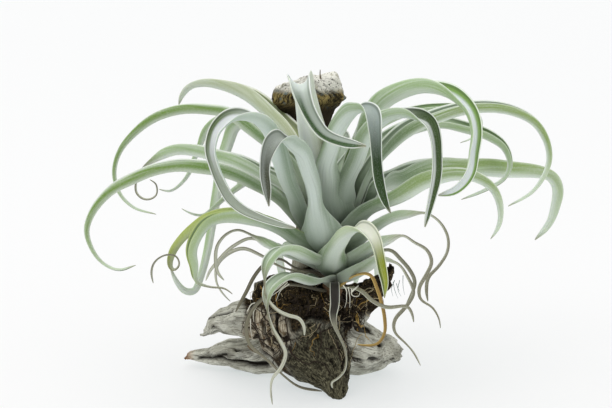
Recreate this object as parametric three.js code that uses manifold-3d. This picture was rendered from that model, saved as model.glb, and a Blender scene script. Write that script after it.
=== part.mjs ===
// Chiapensis air plant seated on a piece of driftwood. Millimetres, +Z up.
// The origin is on the surface that the wood rests on, under the middle of the whole plant.
import * as THREE from "three";
import { mergeVertices } from "three/addons/utils/BufferGeometryUtils.js";
import Module from "manifold-3d";

// Driving dimensions
const GAP = 0.4; // room kept between two pieces that touch
const EDGE = 0.7; // thickness of a leaf at its rim
const LEAF_BODY = 2.2; // thickness of a live leaf along its middle
const DRY_BODY = 1.1; // thickness of a dried leaf
const DRY_WIDTH = 3; // flat width of a dried, shrivelled blade
const THREAD_WIDTH = 2; // flat width of the last thread of a leaf
const SHEATH_AT = 22; // distance along a leaf to the widest part of its sheath
const NECK_AT = 50; // distance along a leaf to its waist, where the sheath has become the blade
const WAIST_LEAD = 6; // distance before the waist at which the blade starts to widen again
const WAIST_RUN = 34; // distance past the waist at which it has its full width
const ROLL_LAG = 24; // distance past the waist at which the channel is fully rolled
const CHANNEL_DEPTH = 1.3; // how much deeper than round the channel of a blade is
const DEPTH_RUN = 40; // distance past the waist at which it has that depth
const DEEP_FROM = 7; // flat width up to which a channel stays round
const DEEP_TO = 12; // flat width from which it has its full depth
const LINE_HEIGHT = 0.5; // share of the channel's depth at which a leaf's line runs past its waist
const TIP_LINE_HEIGHT = 0.25; // the same share on the outer part of the leaf
const OUTER_FROM = 0.3; // share of the blade at which the outer part starts
const OUTER_TO = 0.6; // share of the blade from which it is wholly the outer part
const LIFT_LEAD = 10; // distance before the waist at which the line leaves the channel's bottom
const LIFT_RUN = 20; // distance past the waist at which it has its height
const TIP_FROM = 0.4; // share of the blade from which its channel opens towards the tip
const BASE_SHARE = 0.3; // width at the very base as a share of the sheath
const SHEATH_SHARE = 0.45; // the widest part lies no further out than this share of the sheath's length
const NECK_SHARE = 0.42; // the sheath of a short leaf takes this share of its length
const TIP_LOSS = 0.86; // share of the blade's width lost by the tip
const TIP_POWER = 1.8; // how late along the blade that loss comes
const SHEATH_OPENING = 0.95; // half opening angle in radians of the channel at the sheath
const BLADE_OPENING = 1.7; // along the blade
const TIP_OPENING = 1.3; // at its tip
const DRY_OPENING = 1.2; // where it has dried
const FOLD_FLATTENING = 8; // how much a sharp bend flattens the channel, in millimetres of bend radius
const TIP_BODY = 1.3; // thickness of a live leaf near its tip
const DRY_TIP_SHARE = 0.75; // width of a dried tip as a share of the dried blade
const DRYING_SHARE = 0.06; // share of the length over which a leaf dries out, to each side
const BASE_SINK = 1.5; // depth of a leaf's base below the stem's surface
const BACK_TILT = 0.6; // how far the channel faces the stem at the base of a leaf
const BEND_REACH = 8; // stretch of leaf to each side over which a bend is measured
const LONGEST_STEP = 14; // longest stretch of leaf between two sections
const SHARPEST_STEP = 0.42; // largest turn in radians between two sections
const LAST_STEP = 3; // shortest stretch of leaf before its tip
const LINE_STEPS = 240; // steps in which a leaf's line is followed
const LENGTH_STEPS = 400; // steps in which its length is measured
const STEM_BOTTOM = new THREE.Vector3(-2, -16, 59);
const STEM_TOP = new THREE.Vector3(-4, -10, 104);
const STEM_RADIUS = 6.5;
const STEM_SIDES = 14;
const STEM_OUTLINE = [
  [0, -2], [5, -1.5], [6.5, 2], [6, 10], [6.5, 18], [6, 28], [6.5, 36], [5, 43], [2.5, 46.5], [0, 47],
]; // radius, height above the stem's bottom
const ACROSS = 4; // points across each face of a leaf
const RIBBON_ACROSS = 3; // points across each face of a dried ribbon

// Colours
const SILVER_GREEN = 0xb4c3ae;
const PALE_GREEN = 0xc3cdb9;
const YELLOW_GREEN = 0xa9ad62;
const DRIED = 0x8f7f6c;
const STEM_BROWN = 0x6d5540;
const WOOD_GREY = 0x6e6256;

// Every leaf: the flat width of its sheath, waist and blade, the distance to the widest part of its
// sheath, how late its blade narrows, the height on the stem where it grows, the share of its length
// that stays alive, its twist when dried, its colour, the points of its middle line from the stem
// outwards, and, at shares of its length, the directions that its channel opens to. The leaves that lie
// outermost come first.
const LEAVES = [
  {
    name: "leaf_front_round_sheath", sheath: 31, waist: 11, blade: 22, bulb: 35,
    level: 82, alive: 1, twist: 0, colour: PALE_GREEN,
    route: [[-8, -34, 90], [-9, -44, 97], [-11, -49, 106], [-13, -51, 115], [-14, -53, 123], [-15, -54, 133],
      [-18, -58, 145], [-22, -63, 157], [-28, -68, 163], [-33, -73, 167], [-38, -76, 164], [-41, -78, 157],
      [-42, -79, 148], [-41, -79, 138], [-40, -78, 128]],
    facing: [[0.55, [0, 0.6, 1]], [0.68, [-0.3, -0.3, 1]], [0.8, [-0.1, -1, 0.2]], [1, [-0.1, -1, 0]]],
  },
  {
    name: "leaf_front_yellow_tip", sheath: 26, waist: 14, blade: 17,
    level: 68, alive: 1, twist: 0, colour: YELLOW_GREEN,
    route: [[-4, -42, 83], [-3, -51, 92], [1, -57, 101], [5, -63, 109], [9, -69, 114], [13, -73, 115],
      [17, -77, 113], [20, -80, 109], [22, -81, 102], [24, -82, 93], [26, -82, 84], [26, -81, 75]],
    facing: [[0.35, [0, 0.6, 1]], [0.55, [0.2, -0.3, 1]], [0.7, [0.25, -1, 0.3]], [1, [0.1, -1, 0]]],
  },
  {
    name: "leaf_low_front_curl", sheath: 21, blade: 17,
    level: 72, alive: 0.6, twist: 150, colour: PALE_GREEN,
    route: [[-11, -38, 84], [-18, -47, 88], [-23, -55, 93], [-29, -61, 98], [-35, -65, 99], [-39, -68, 96],
      [-42, -70, 91], [-43, -71, 82], [-42, -70, 73], [-36, -70, 65], [-29, -69, 61], [-23, -68, 59],
      [-20, -67, 53], [-20, -66, 48]],
  },
  {
    name: "leaf_low_front_long", sheath: 19, blade: 16,
    level: 65, alive: 0.5, twist: 240, colour: PALE_GREEN,
    route: [[-9, -38, 74], [-16, -46, 74], [-23, -54, 78], [-29, -60, 82], [-35, -64, 81], [-40, -67, 77],
      [-42, -69, 69], [-39, -69, 55], [-34, -68, 45], [-31, -68, 38], [-34, -66, 28], [-39, -64, 21],
      [-40, -62, 12], [-39, -60, 3]],
  },
  {
    name: "leaf_low_centre_dry", sheath: 6, blade: 6.5, level: 62, alive: 0.52, twist: 180, colour: DRIED,
    route: [[-2, -40, 72], [-2, -50, 74], [-2, -55, 70], [-2, -57, 64], [-3, -58, 59], [-2, -58, 52],
      [1, -58, 45], [4, -58, 38], [5, -57, 30], [4, -56, 23], [-1, -55, 17], [-4, -54, 15], [-3, -53, 11]],
  },
  {
    name: "leaf_low_right_dry", sheath: 22, blade: 14, level: 67, alive: 0.38, twist: 220, colour: DRIED,
    route: [[9, -38, 75], [18, -44, 82], [27, -48, 89], [36, -50, 87], [41, -51, 80], [45, -51, 70],
      [41, -51, 62], [34, -51, 53], [34, -51, 46], [41, -50, 38], [46, -50, 32], [50, -50, 24]],
  },
  {
    name: "leaf_low_left_dry", sheath: 24, blade: 16,
    level: 73, alive: 0.5, twist: 90, colour: PALE_GREEN,
    route: [[-21, -24, 82], [-32, -31, 88], [-42, -36, 95], [-51, -39, 102], [-60, -41, 106], [-67, -42, 103],
      [-72, -42, 96], [-73, -42, 87], [-72, -42, 80], [-68, -42, 75]],
  },
  {
    name: "leaf_right_brown_curl", sheath: 22, blade: 15,
    level: 72, alive: 0.42, twist: 200, colour: DRIED,
    route: [[10, -36, 84], [19, -43, 92], [29, -48, 100], [38, -51, 105], [45, -53, 101], [52, -54, 97],
      [55, -55, 90], [52, -55, 82], [48, -55, 74], [49, -55, 67], [56, -55, 62], [60, -55, 55],
      [61, -55, 49]],
  },
  {
    name: "leaf_right_short_dry", sheath: 24, blade: 15,
    level: 79, alive: 0.48, twist: 120, colour: PALE_GREEN,
    route: [[14, -30, 95], [23, -35, 104], [33, -39, 112], [43, -42, 116], [52, -44, 117], [60, -45, 112],
      [65, -46, 103], [65, -46, 94], [60, -46, 85], [54, -46, 78], [53, -46, 70], [54, -46, 63]],
  },
  {
    name: "leaf_left_front_arch", sheath: 32, blade: 20,
    level: 78, alive: 0.86, twist: 0, colour: YELLOW_GREEN,
    route: [[-19, -30, 91], [-28, -37, 98], [-37, -43, 106], [-47, -48, 113], [-58, -53, 117],
      [-68, -58, 118], [-76, -62, 115], [-81, -65, 108], [-84, -66, 99], [-83, -66, 90], [-83, -65, 81],
      [-75, -64, 77], [-67, -63, 76], [-62, -62, 72]],
  },
  {
    name: "leaf_right_front_arch", sheath: 29, blade: 24,
    level: 81, alive: 1, twist: 0, colour: SILVER_GREEN,
    route: [[17, -27, 110], [25, -32, 117], [33, -37, 123], [41, -42, 130], [51, -46, 137], [61, -49, 140],
      [71, -52, 141], [81, -54, 139], [89, -56, 134], [93, -57, 126], [94, -57, 116], [92, -57, 109],
      [89, -57, 104]],
  },
  {
    name: "leaf_right_centre_fold", sheath: 36, waist: 24, blade: 23,
    level: 87, alive: 1, twist: 0, colour: SILVER_GREEN,
    route: [[-4, -27, 109], [-7, -33, 124], [-7, -40, 136], [-7, -46, 147], [-4, -52, 158], [-1, -57, 168],
      [4, -62, 177], [9, -67, 182], [15, -72, 183], [18, -77, 179], [19, -80, 172], [20, -82, 161],
      [21, -83, 150], [23, -83, 140], [26, -83, 131], [29, -82, 125]],
    facing: [[0.5, [0, 0.6, 1]], [0.64, [0.3, -0.2, 1]], [0.74, [0.1, -1, 0.2]], [1, [0, -1, 0.1]]],
  },
  {
    name: "leaf_left_big_arch", sheath: 28, waist: 19, blade: 23, taper: 1.1,
    level: 84, alive: 1, twist: 0, colour: SILVER_GREEN,
    route: [[-25, -26, 110], [-27, -33, 119], [-29, -40, 130], [-32, -47, 142], [-35, -53, 153],
      [-38, -58, 164], [-42, -62, 172], [-47, -66, 177], [-53, -69, 179], [-59, -71, 179], [-64, -73, 177],
      [-69, -75, 172], [-71, -77, 167], [-72, -78, 160], [-70, -79, 152], [-67, -80, 144], [-62, -80, 134],
      [-55, -79, 127], [-46, -77, 122], [-34, -74, 117], [-25, -71, 114]],
    facing: [[0.3, [0, 0.6, 1]], [0.5, [-0.2, 0, 1]], [0.64, [-0.5, -1, 0.1]], [1, [0, -1, 0]]],
  },
  {
    name: "leaf_right_inner_arch", sheath: 33, waist: 22, blade: 22, taper: 1.3,
    level: 88, alive: 1, twist: 0, colour: SILVER_GREEN,
    route: [[7, -21, 111], [7, -29, 128], [11, -38, 147], [17, -47, 165], [27, -54, 176], [36, -60, 179],
      [44, -65, 178], [51, -69, 175], [54, -72, 167], [55, -74, 157], [55, -75, 146], [53, -75, 134],
      [51, -75, 125], [49, -74, 115]],
    facing: [[0.4, [0, 0.6, 1]], [0.58, [0.2, 0, 1]], [0.7, [0.1, -1, 0.2]], [1, [0, -1, 0.1]]],
  },
  {
    name: "leaf_left_long", sheath: 28, waist: 19, blade: 19,
    level: 83, alive: 1, twist: 0, colour: SILVER_GREEN,
    route: [[-30, -20, 111], [-38, -24, 121], [-48, -27, 130], [-59, -30, 137], [-70, -32, 141],
      [-82, -34, 143], [-95, -35, 144], [-109, -36, 141], [-122, -37, 135], [-135, -39, 128],
      [-145, -41, 117], [-149, -43, 106], [-146, -45, 95], [-140, -46, 87], [-131, -47, 83], [-120, -48, 86]],
  },
  {
    name: "leaf_right_long", sheath: 30, blade: 35, level: 86, alive: 1, twist: 0, colour: SILVER_GREEN,
    route: [[21, 0, 113], [27, 8, 120], [35, 16, 123], [48, 24, 128], [66, 33, 129], [89, 43, 128],
      [112, 51, 123], [133, 56, 121], [142, 58, 118], [146, 58, 111], [145, 57, 100], [142, 56, 89],
      [133, 54, 77]],
  },
  {
    name: "leaf_top_fold", sheath: 28, waist: 29, blade: 33, taper: 1.5,
    level: 96, alive: 1, twist: 0, colour: SILVER_GREEN,
    route: [[-13, -22, 117], [-14, -32, 134], [-15, -42, 154], [-18, -51, 172], [-20, -58, 186],
      [-21, -64, 194], [-22, -71, 199], [-23, -79, 197], [-23, -86, 195], [-20, -92, 187], [-16, -97, 180],
      [-10, -100, 173], [0, -102, 169], [14, -102, 167]],
    facing: [[0.4, [0, 0.6, 1]], [0.63, [-0.15, 0, 1]], [0.73, [0.2, -0.8, 0.6]], [1, [0.2, -0.9, 0.4]]],
  },
  {
    name: "leaf_right_top_arch", sheath: 30, waist: 25, blade: 36, taper: 0.8,
    level: 93, alive: 1, twist: 0, colour: SILVER_GREEN,
    route: [[8, -12, 121], [11, -18, 143], [17, -26, 166], [26, -33, 182], [37, -39, 189], [48, -45, 192],
      [58, -51, 191], [67, -57, 187], [74, -62, 180], [77, -66, 169], [76, -68, 158], [74, -69, 145],
      [67, -68, 136], [57, -66, 132]],
    facing: [[0.3, [0, 0.5, 1]], [0.55, [0.1, 0.3, 1]], [0.72, [0.6, -0.8, 0.2]], [1, [0.2, -1, 0]]],
  },
  {
    name: "leaf_left_top_arch", sheath: 28, waist: 18, blade: 18, taper: 1.5,
    level: 92, alive: 1, twist: 0, colour: SILVER_GREEN,
    route: [[-21, -9, 122], [-27, -6, 138], [-36, -3, 148], [-44, -1, 154], [-55, 2, 162], [-67, 4, 170],
      [-81, 6, 172], [-96, 8, 171], [-111, 8, 166], [-123, 7, 158], [-134, 5, 146], [-138, 3, 133],
      [-135, 1, 120], [-126, -1, 111], [-112, -3, 107]],
  },
  {
    name: "leaf_right_wide_arch", sheath: 29, waist: 19, blade: 23, taper: 1.3,
    level: 90, alive: 1, twist: 0, colour: SILVER_GREEN,
    route: [[13, -8, 115], [20, -7, 132], [29, -6, 148], [42, -4, 160], [57, -2, 167], [74, 0, 172],
      [92, 2, 173], [108, 4, 170], [122, 5, 163], [130, 6, 151], [132, 6, 140], [129, 5, 130], [122, 4, 120],
      [107, 2, 111]],
  },
  {
    name: "leaf_right_back_arch", sheath: 27, blade: 20,
    level: 89, alive: 1, twist: 0, colour: PALE_GREEN,
    route: [[12, 4, 117], [19, 10, 135], [30, 16, 149], [47, 22, 157], [66, 27, 160], [83, 31, 155],
      [98, 34, 149], [108, 36, 142], [112, 36, 132], [109, 35, 123], [98, 34, 116], [81, 32, 109]],
  },
  {
    name: "leaf_left_thin_curl", sheath: 26, blade: 21,
    level: 85, alive: 0.73, twist: 0, colour: PALE_GREEN,
    route: [[-25, -4, 114], [-35, 4, 124], [-46, 12, 130], [-60, 20, 135], [-74, 28, 138], [-88, 35, 140],
      [-103, 41, 139], [-116, 45, 133], [-125, 47, 127], [-130, 48, 118], [-130, 48, 110], [-124, 47, 106],
      [-117, 46, 109], [-117, 45, 117], [-121, 44, 120]],
  },
  {
    name: "leaf_back_left_top", sheath: 26, blade: 28, level: 97, alive: 1, twist: 0, colour: PALE_GREEN,
    route: [[-17, -2, 126], [-21, 10, 144], [-28, 22, 155], [-37, 32, 163], [-47, 42, 169], [-59, 52, 174],
      [-73, 61, 178], [-86, 69, 179], [-96, 74, 176], [-102, 77, 169], [-104, 78, 164]],
  },
  {
    name: "leaf_back_left_drop", sheath: 22, blade: 14, level: 94, alive: 1, twist: 0, colour: PALE_GREEN,
    route: [[-18, 6, 130], [-27, 20, 144], [-41, 34, 155], [-57, 46, 161], [-73, 56, 159], [-84, 63, 150],
      [-89, 66, 138], [-93, 67, 129], [-97, 67, 119], [-104, 66, 111], [-110, 64, 108], [-117, 62, 110]],
  },
  {
    name: "leaf_back_left_wide", sheath: 26, blade: 18, level: 91, alive: 1, twist: 0, colour: PALE_GREEN,
    route: [[-23, 4, 121], [-32, 20, 139], [-43, 36, 151], [-55, 50, 158], [-65, 59, 153], [-70, 64, 141],
      [-74, 66, 126], [-77, 66, 109], [-81, 62, 85], [-84, 57, 69], [-88, 51, 54], [-93, 46, 44],
      [-99, 43, 45], [-104, 40, 52], [-108, 38, 62]],
  },
  {
    name: "leaf_back_left_small", sheath: 18, blade: 11,
    level: 80, alive: 1, twist: 0, colour: PALE_GREEN,
    route: [[-25, 6, 105], [-35, 16, 115], [-46, 25, 121], [-56, 32, 121], [-64, 37, 115], [-72, 39, 108],
      [-80, 40, 101], [-86, 40, 97], [-93, 39, 98], [-100, 38, 102]],
  },
  {
    name: "leaf_left_yellow", sheath: 22, blade: 14,
    level: 76, alive: 0.74, twist: 60, colour: YELLOW_GREEN,
    route: [[-26, -14, 91], [-38, -4, 99], [-52, 7, 104], [-66, 17, 104], [-81, 24, 99], [-91, 28, 91],
      [-99, 30, 83], [-105, 30, 74], [-107, 29, 66], [-105, 28, 63], [-101, 27, 67], [-103, 26, 73],
      [-110, 25, 74], [-117, 25, 69], [-119, 25, 62], [-118, 25, 55]],
  },
  {
    name: "leaf_back_right_tip", sheath: 20, blade: 13, level: 95, alive: 1, twist: 0, colour: PALE_GREEN,
    route: [[2, 4, 125], [13, 22, 143], [29, 40, 157], [49, 54, 163], [69, 66, 164], [88, 75, 162],
      [98, 78, 155], [98, 78, 148], [92, 76, 142], [84, 74, 139]],
  },
  {
    name: "leaf_rear_right", sheath: 24, blade: 15, level: 82, alive: 1, twist: 0, colour: SILVER_GREEN,
    route: [[3, 2, 94], [8, 18, 101], [12, 38, 102], [15, 60, 95], [17, 78, 80], [18, 90, 62], [17, 95, 44],
      [14, 94, 30]],
  },
  {
    name: "leaf_rear_centre", sheath: 22, blade: 14, level: 74, alive: 1, twist: 0, colour: SILVER_GREEN,
    route: [[2, 4, 84], [5, 22, 86], [5, 46, 82], [2, 66, 72], [-3, 82, 57], [-9, 92, 41], [-13, 96, 27]],
  },
  {
    name: "leaf_rear_upright", sheath: 22, blade: 15,
    level: 100, alive: 1, twist: 0, colour: SILVER_GREEN,
    route: [[2, 4, 112], [5, 20, 130], [6, 36, 141], [6, 52, 146], [5, 68, 144], [4, 83, 134], [3, 95, 118],
      [2, 101, 100], [1, 103, 84]],
  },
  {
    name: "leaf_rear_left", sheath: 22, blade: 14, level: 96, alive: 1, twist: 0, colour: SILVER_GREEN,
    route: [[-14, 4, 108], [-24, 16, 116], [-32, 32, 121], [-31, 52, 123], [-25, 72, 116], [-20, 86, 100],
      [-18, 95, 82], [-17, 97, 64]],
  },
  {
    name: "leaf_rear_low_right", sheath: 20, blade: 13, level: 66, alive: 1, twist: 0, colour: PALE_GREEN,
    route: [[6, -2, 72], [14, 14, 76], [22, 32, 74], [27, 52, 65], [30, 70, 51], [30, 84, 36], [28, 92, 23]],
  },
  {
    name: "leaf_rear_low_left", sheath: 20, blade: 12, level: 70, alive: 1, twist: 0, colour: PALE_GREEN,
    route: [[-12, 4, 74], [-24, 14, 78], [-33, 28, 79], [-37, 46, 74], [-37, 64, 62], [-35, 78, 46],
      [-32, 87, 30], [-30, 91, 16]],
  },
  {
    name: "leaf_rear_wide_right", sheath: 24, blade: 15,
    level: 92, alive: 1, twist: 0, colour: SILVER_GREEN,
    route: [[9, 2, 108], [18, 18, 119], [26, 34, 122], [31, 50, 119], [34, 65, 109], [35, 77, 95]],
  },
  {
    name: "leaf_rear_wide_left", sheath: 24, blade: 14,
    level: 86, alive: 1, twist: 0, colour: SILVER_GREEN,
    route: [[-16, 4, 106], [-26, 17, 118], [-38, 31, 126], [-50, 47, 127], [-60, 62, 119], [-66, 73, 108]],
  },
];

// Dried leaves that have shrunk to narrow twisted ribbons, given in the same way.
const RIBBONS = [
  {
    name: "ribbon_right_behind", sheath: 9, blade: 6, level: 75, alive: 0.1, twist: 120, colour: DRIED,
    route: [[13, -26, 79], [22, -29, 88], [32, -31, 91], [38, -33, 86], [44, -34, 79], [47, -34, 72],
      [45, -34, 64], [42, -33, 58]],
  },
  {
    name: "ribbon_left_dark", sheath: 9, blade: 6, level: 72, alive: 0.1, twist: 90, colour: DRIED,
    route: [[-26, -16, 76], [-34, -15, 81], [-41, -13, 80], [-47, -12, 75], [-52, -12, 68], [-56, -13, 60],
      [-60, -14, 53], [-63, -14, 47]],
  },
  {
    name: "ribbon_left_grey", sheath: 9, blade: 6, level: 74, alive: 0.1, twist: 100, colour: DRIED,
    route: [[-31, -20, 85], [-42, -21, 92], [-53, -21, 96], [-62, -21, 92], [-68, -20, 87], [-74, -19, 80],
      [-78, -18, 75], [-81, -17, 68]],
  },
  {
    name: "ribbon_left_hook", sheath: 8, blade: 5, level: 70, alive: 0.1, twist: 160, colour: DRIED,
    route: [[-34, -4, 73], [-47, 2, 79], [-59, 6, 83], [-70, 8, 78], [-76, 9, 70], [-76, 9, 60], [-72, 8, 53],
      [-67, 7, 48]],
  },
  {
    name: "ribbon_floor", sheath: 8, blade: 5, level: 62, alive: 0.1, twist: 260, colour: DRIED,
    route: [[-32, -36, 70], [-43, -42, 65], [-51, -45, 58], [-55, -47, 48], [-53, -48, 37], [-47, -48, 31],
      [-41, -49, 26], [-32, -49, 17], [-23, -48, 10], [-9, -47, 7]],
  },
  {
    name: "ribbon_right_pale", sheath: 6, blade: 4, level: 65, alive: 0.1, twist: 60, colour: DRIED,
    route: [[14, -48, 70], [21, -53, 65], [29, -55, 62], [37, -56, 63], [41, -56, 63], [44, -56, 58],
      [45, -56, 53]],
  },
  {
    name: "ribbon_right_orange", sheath: 6, blade: 4, level: 63, alive: 0.1, twist: 90, colour: DRIED,
    route: [[12, -48, 80], [19, -52, 81], [23, -53, 73], [26, -53, 64], [28, -51, 53], [28, -49, 44],
      [24, -47, 37], [17, -44, 35], [12, -42, 35]],
  },
];

// Driftwood limbs: each section is its centre, its half width along the limb's wide side and its other
// half width.
const WOOD_SIDES = 16;
const WOOD_STEP = 11;
const WIDE_ALONG_X = new THREE.Vector3(1, 0, 0);
const WIDE_ALONG_Y = new THREE.Vector3(0, 1, 0);
const WOOD = [
  {
    piece: "root mass", wide: WIDE_ALONG_X, rough: 0.09, phase: 0.4, jag: 0,
    sections: [[-12, 0, 64, 20, 14], [-14, -2, 57, 30, 22], [-19, -5, 44, 37, 27], [-19, -9, 33, 33, 26],
      [-13, -16, 23, 25, 20], [-7, -25, 15, 17, 12], [-1, -34, 7, 9, 7], [0, -39, 1, 5, 5],
      [0, -41, -4, 3, 3]],
  },
  {
    piece: "long left limb", wide: WIDE_ALONG_Y, rough: 0.1, phase: 1.7, jag: 2,
    sections: [[-24, 2, 24, 18, 17], [-42, 8, 14, 17, 14], [-58, 12, 10.5, 14, 11], [-68, 14, 11.5, 12, 9],
      [-76, 16, 10, 10, 6.3], [-81, 18, 8.5, 8, 4.3], [-92, 21, 8.3, 6, 3.6], [-98, 22, 5.5, 2.5, 1]],
  },
  {
    piece: "upper left limb", wide: WIDE_ALONG_Y, rough: 0.1, phase: 2.9, jag: 2,
    sections: [[-34, -3, 41, 15, 14], [-52, -4, 40, 13, 12], [-62, -4, 40, 12, 11.5], [-68, -4, 39, 10, 9],
      [-74, -4, 38.5, 8, 7.5], [-79, -3, 33, 5, 4], [-85, -2, 28.5, 1.5, 1.5]],
  },
  {
    piece: "right limb", wide: WIDE_ALONG_Y, rough: 0.1, phase: 4.1, jag: 3,
    sections: [[0, 0, 24, 18, 20], [14, 7, 18, 17, 19], [26, 12, 14.5, 13, 14], [34, 13, 13.5, 10, 11],
      [39, 13, 12, 7, 7], [42, 12, 11.5, 4, 4]],
  },
  {
    piece: "right knob", wide: WIDE_ALONG_Y, rough: 0.1, phase: 5.3, jag: 1,
    sections: [[6, 0, 46, 15, 14], [18, 2, 52, 12, 11], [27, 4, 59, 8, 7.5], [33, 5, 66, 4.5, 4.5],
      [35.5, 6, 72, 2.5, 2.5]],
  },
  {
    piece: "upright stub", wide: WIDE_ALONG_X, rough: 0.08, phase: 0.9, jag: 1.5,
    sections: [[-12, 12, 34, 24, 18], [-12, 24, 70, 15, 12], [-13, 33, 115, 12, 10], [-15, 38, 150, 11, 9],
      [-16, 40, 162, 13, 10], [-17, 41, 171, 22, 11.5], [-17, 39.5, 177, 24, 12.5],
      [-16.5, 38.8, 182, 21.5, 12], [-17.5, 38.3, 186.5, 17, 10]],
  },
  {
    piece: "rear foot", wide: WIDE_ALONG_X, rough: 0.1, phase: 3.3, jag: 0,
    sections: [[-14, 12, 32, 22, 18], [-14, 32, 18, 16, 14], [-12, 48, 7, 9, 8], [-12, 54, -4, 6, 6]],
  },
];

const wasm = await Module();
wasm.setup();

// A closed mesh from faces given by corner numbers, turned so that its faces point out.
function closedGeometry(points, triangles) {
  const geometry = new THREE.BufferGeometry();
  const flat = points.flatMap((point) => [point.x, point.y, point.z]);
  geometry.setAttribute("position", new THREE.Float32BufferAttribute(flat, 3));
  const volume = triangles.reduce(
    (sum, [a, b, c]) => sum + points[a].dot(points[b].clone().cross(points[c])),
    0,
  );
  geometry.setIndex(triangles.flatMap(([a, b, c]) => (volume > 0 ? [a, b, c] : [a, c, b])));
  return geometry;
}

function toSolid(geometry) {
  const bare = geometry.clone();
  bare.deleteAttribute("normal");
  bare.deleteAttribute("uv");
  const merged = mergeVertices(bare, 1e-4);
  const mesh = new wasm.Mesh({
    numProp: 3,
    vertProperties: Float32Array.from(merged.attributes.position.array),
    triVerts: Uint32Array.from(merged.index.array),
  });
  return new wasm.Manifold(mesh);
}

// The largest body of a solid; scraps that a cut has freed are left out.
function largestBody(solid) {
  const bodies = solid.decompose();
  return bodies.reduce((best, body) => (body.volume() > best.volume() ? body : best));
}

function toGeometry(solid) {
  const mesh = solid.getMesh();
  const geometry = new THREE.BufferGeometry();
  const positions = new Float32Array(mesh.numVert * 3);
  for (let i = 0; i < mesh.numVert; i++) {
    for (let k = 0; k < 3; k++) positions[i * 3 + k] = mesh.vertProperties[i * mesh.numProp + k];
  }
  geometry.setAttribute("position", new THREE.BufferAttribute(positions, 3));
  geometry.setIndex(Array.from(mesh.triVerts));
  geometry.computeVertexNormals();
  return geometry;
}

function smooth(from, to, value) {
  return THREE.MathUtils.smoothstep(value, from, to);
}

function blend(a, b, share) {
  return a + (b - a) * share;
}

// Flat width, half opening angle, depth and body thickness of a leaf at a distance from its base.
function leafProfile(leaf, distance, length, bend) {
  const bulb = leaf.bulb ?? SHEATH_AT;
  const neck = Math.min(NECK_AT + bulb - SHEATH_AT, length * NECK_SHARE);
  const widest = Math.min(bulb, (neck * SHEATH_SHARE * bulb) / SHEATH_AT);
  const toTip = THREE.MathUtils.clamp((distance - neck) / (length - neck), 0, 1);
  let width;
  if (distance < widest) {
    width = leaf.sheath * blend(BASE_SHARE, 1, smooth(0, widest, distance));
  } else {
    const waist = leaf.waist ?? leaf.blade;
    width = blend(leaf.sheath, waist, smooth(widest, neck, distance));
    width = blend(width, leaf.blade, smooth(neck - WAIST_LEAD, neck + WAIST_RUN, distance));
  }
  width *= 1 - TIP_LOSS * toTip ** (leaf.taper ?? TIP_POWER);
  const flattened = 1 + (bend * FOLD_FLATTENING) ** 2;
  let opening = blend(SHEATH_OPENING, BLADE_OPENING, smooth(widest, neck + ROLL_LAG, distance));
  opening = blend(opening, TIP_OPENING, smooth(TIP_FROM, 1, toTip)) / flattened;
  const deepened = smooth(neck, neck + DEPTH_RUN, distance) * smooth(DEEP_FROM, DEEP_TO, width);
  let depth = 1 + ((CHANNEL_DEPTH - 1) * deepened) / flattened;
  const lineHeight = blend(LINE_HEIGHT, TIP_LINE_HEIGHT, smooth(OUTER_FROM, OUTER_TO, toTip));
  const lift = lineHeight * smooth(neck - LIFT_LEAD, neck + LIFT_RUN, distance);
  let body = blend(LEAF_BODY, TIP_BODY, toTip);
  const dried = smooth(leaf.alive - DRYING_SHARE, leaf.alive + DRYING_SHARE, distance / length);
  if (leaf.alive < 1) {
    const shrunk = Math.min(width, DRY_WIDTH) * blend(1, DRY_TIP_SHARE, toTip);
    width = blend(width, Math.max(shrunk, THREAD_WIDTH), dried);
    opening = blend(opening, DRY_OPENING, dried);
    depth = blend(depth, 1, dried);
    body = blend(body, DRY_BODY, dried);
  }
  return { width: Math.max(width, THREAD_WIDTH), opening, depth, lift, body, dried };
}

// Turns the channel from the way it lies by itself to the directions that the leaf's row gives.
function channelFace(leaf, tangent, face, reach) {
  const spans = leaf.facing ?? [];
  for (let i = 0; i + 1 < spans.length; i++) {
    const [start, from] = spans[i];
    const [end, to] = spans[i + 1];
    if (reach < start || reach > end) continue;
    const wanted = new THREE.Vector3(...from).lerp(new THREE.Vector3(...to), smooth(start, end, reach));
    wanted.addScaledVector(tangent, -wanted.dot(tangent)).normalize();
    if (i > 0) return wanted;
    const turn = new THREE.Quaternion().setFromUnitVectors(face, wanted);
    return face.clone().applyQuaternion(new THREE.Quaternion().slerp(turn, smooth(start, end, reach)));
  }
  return face;
}

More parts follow.
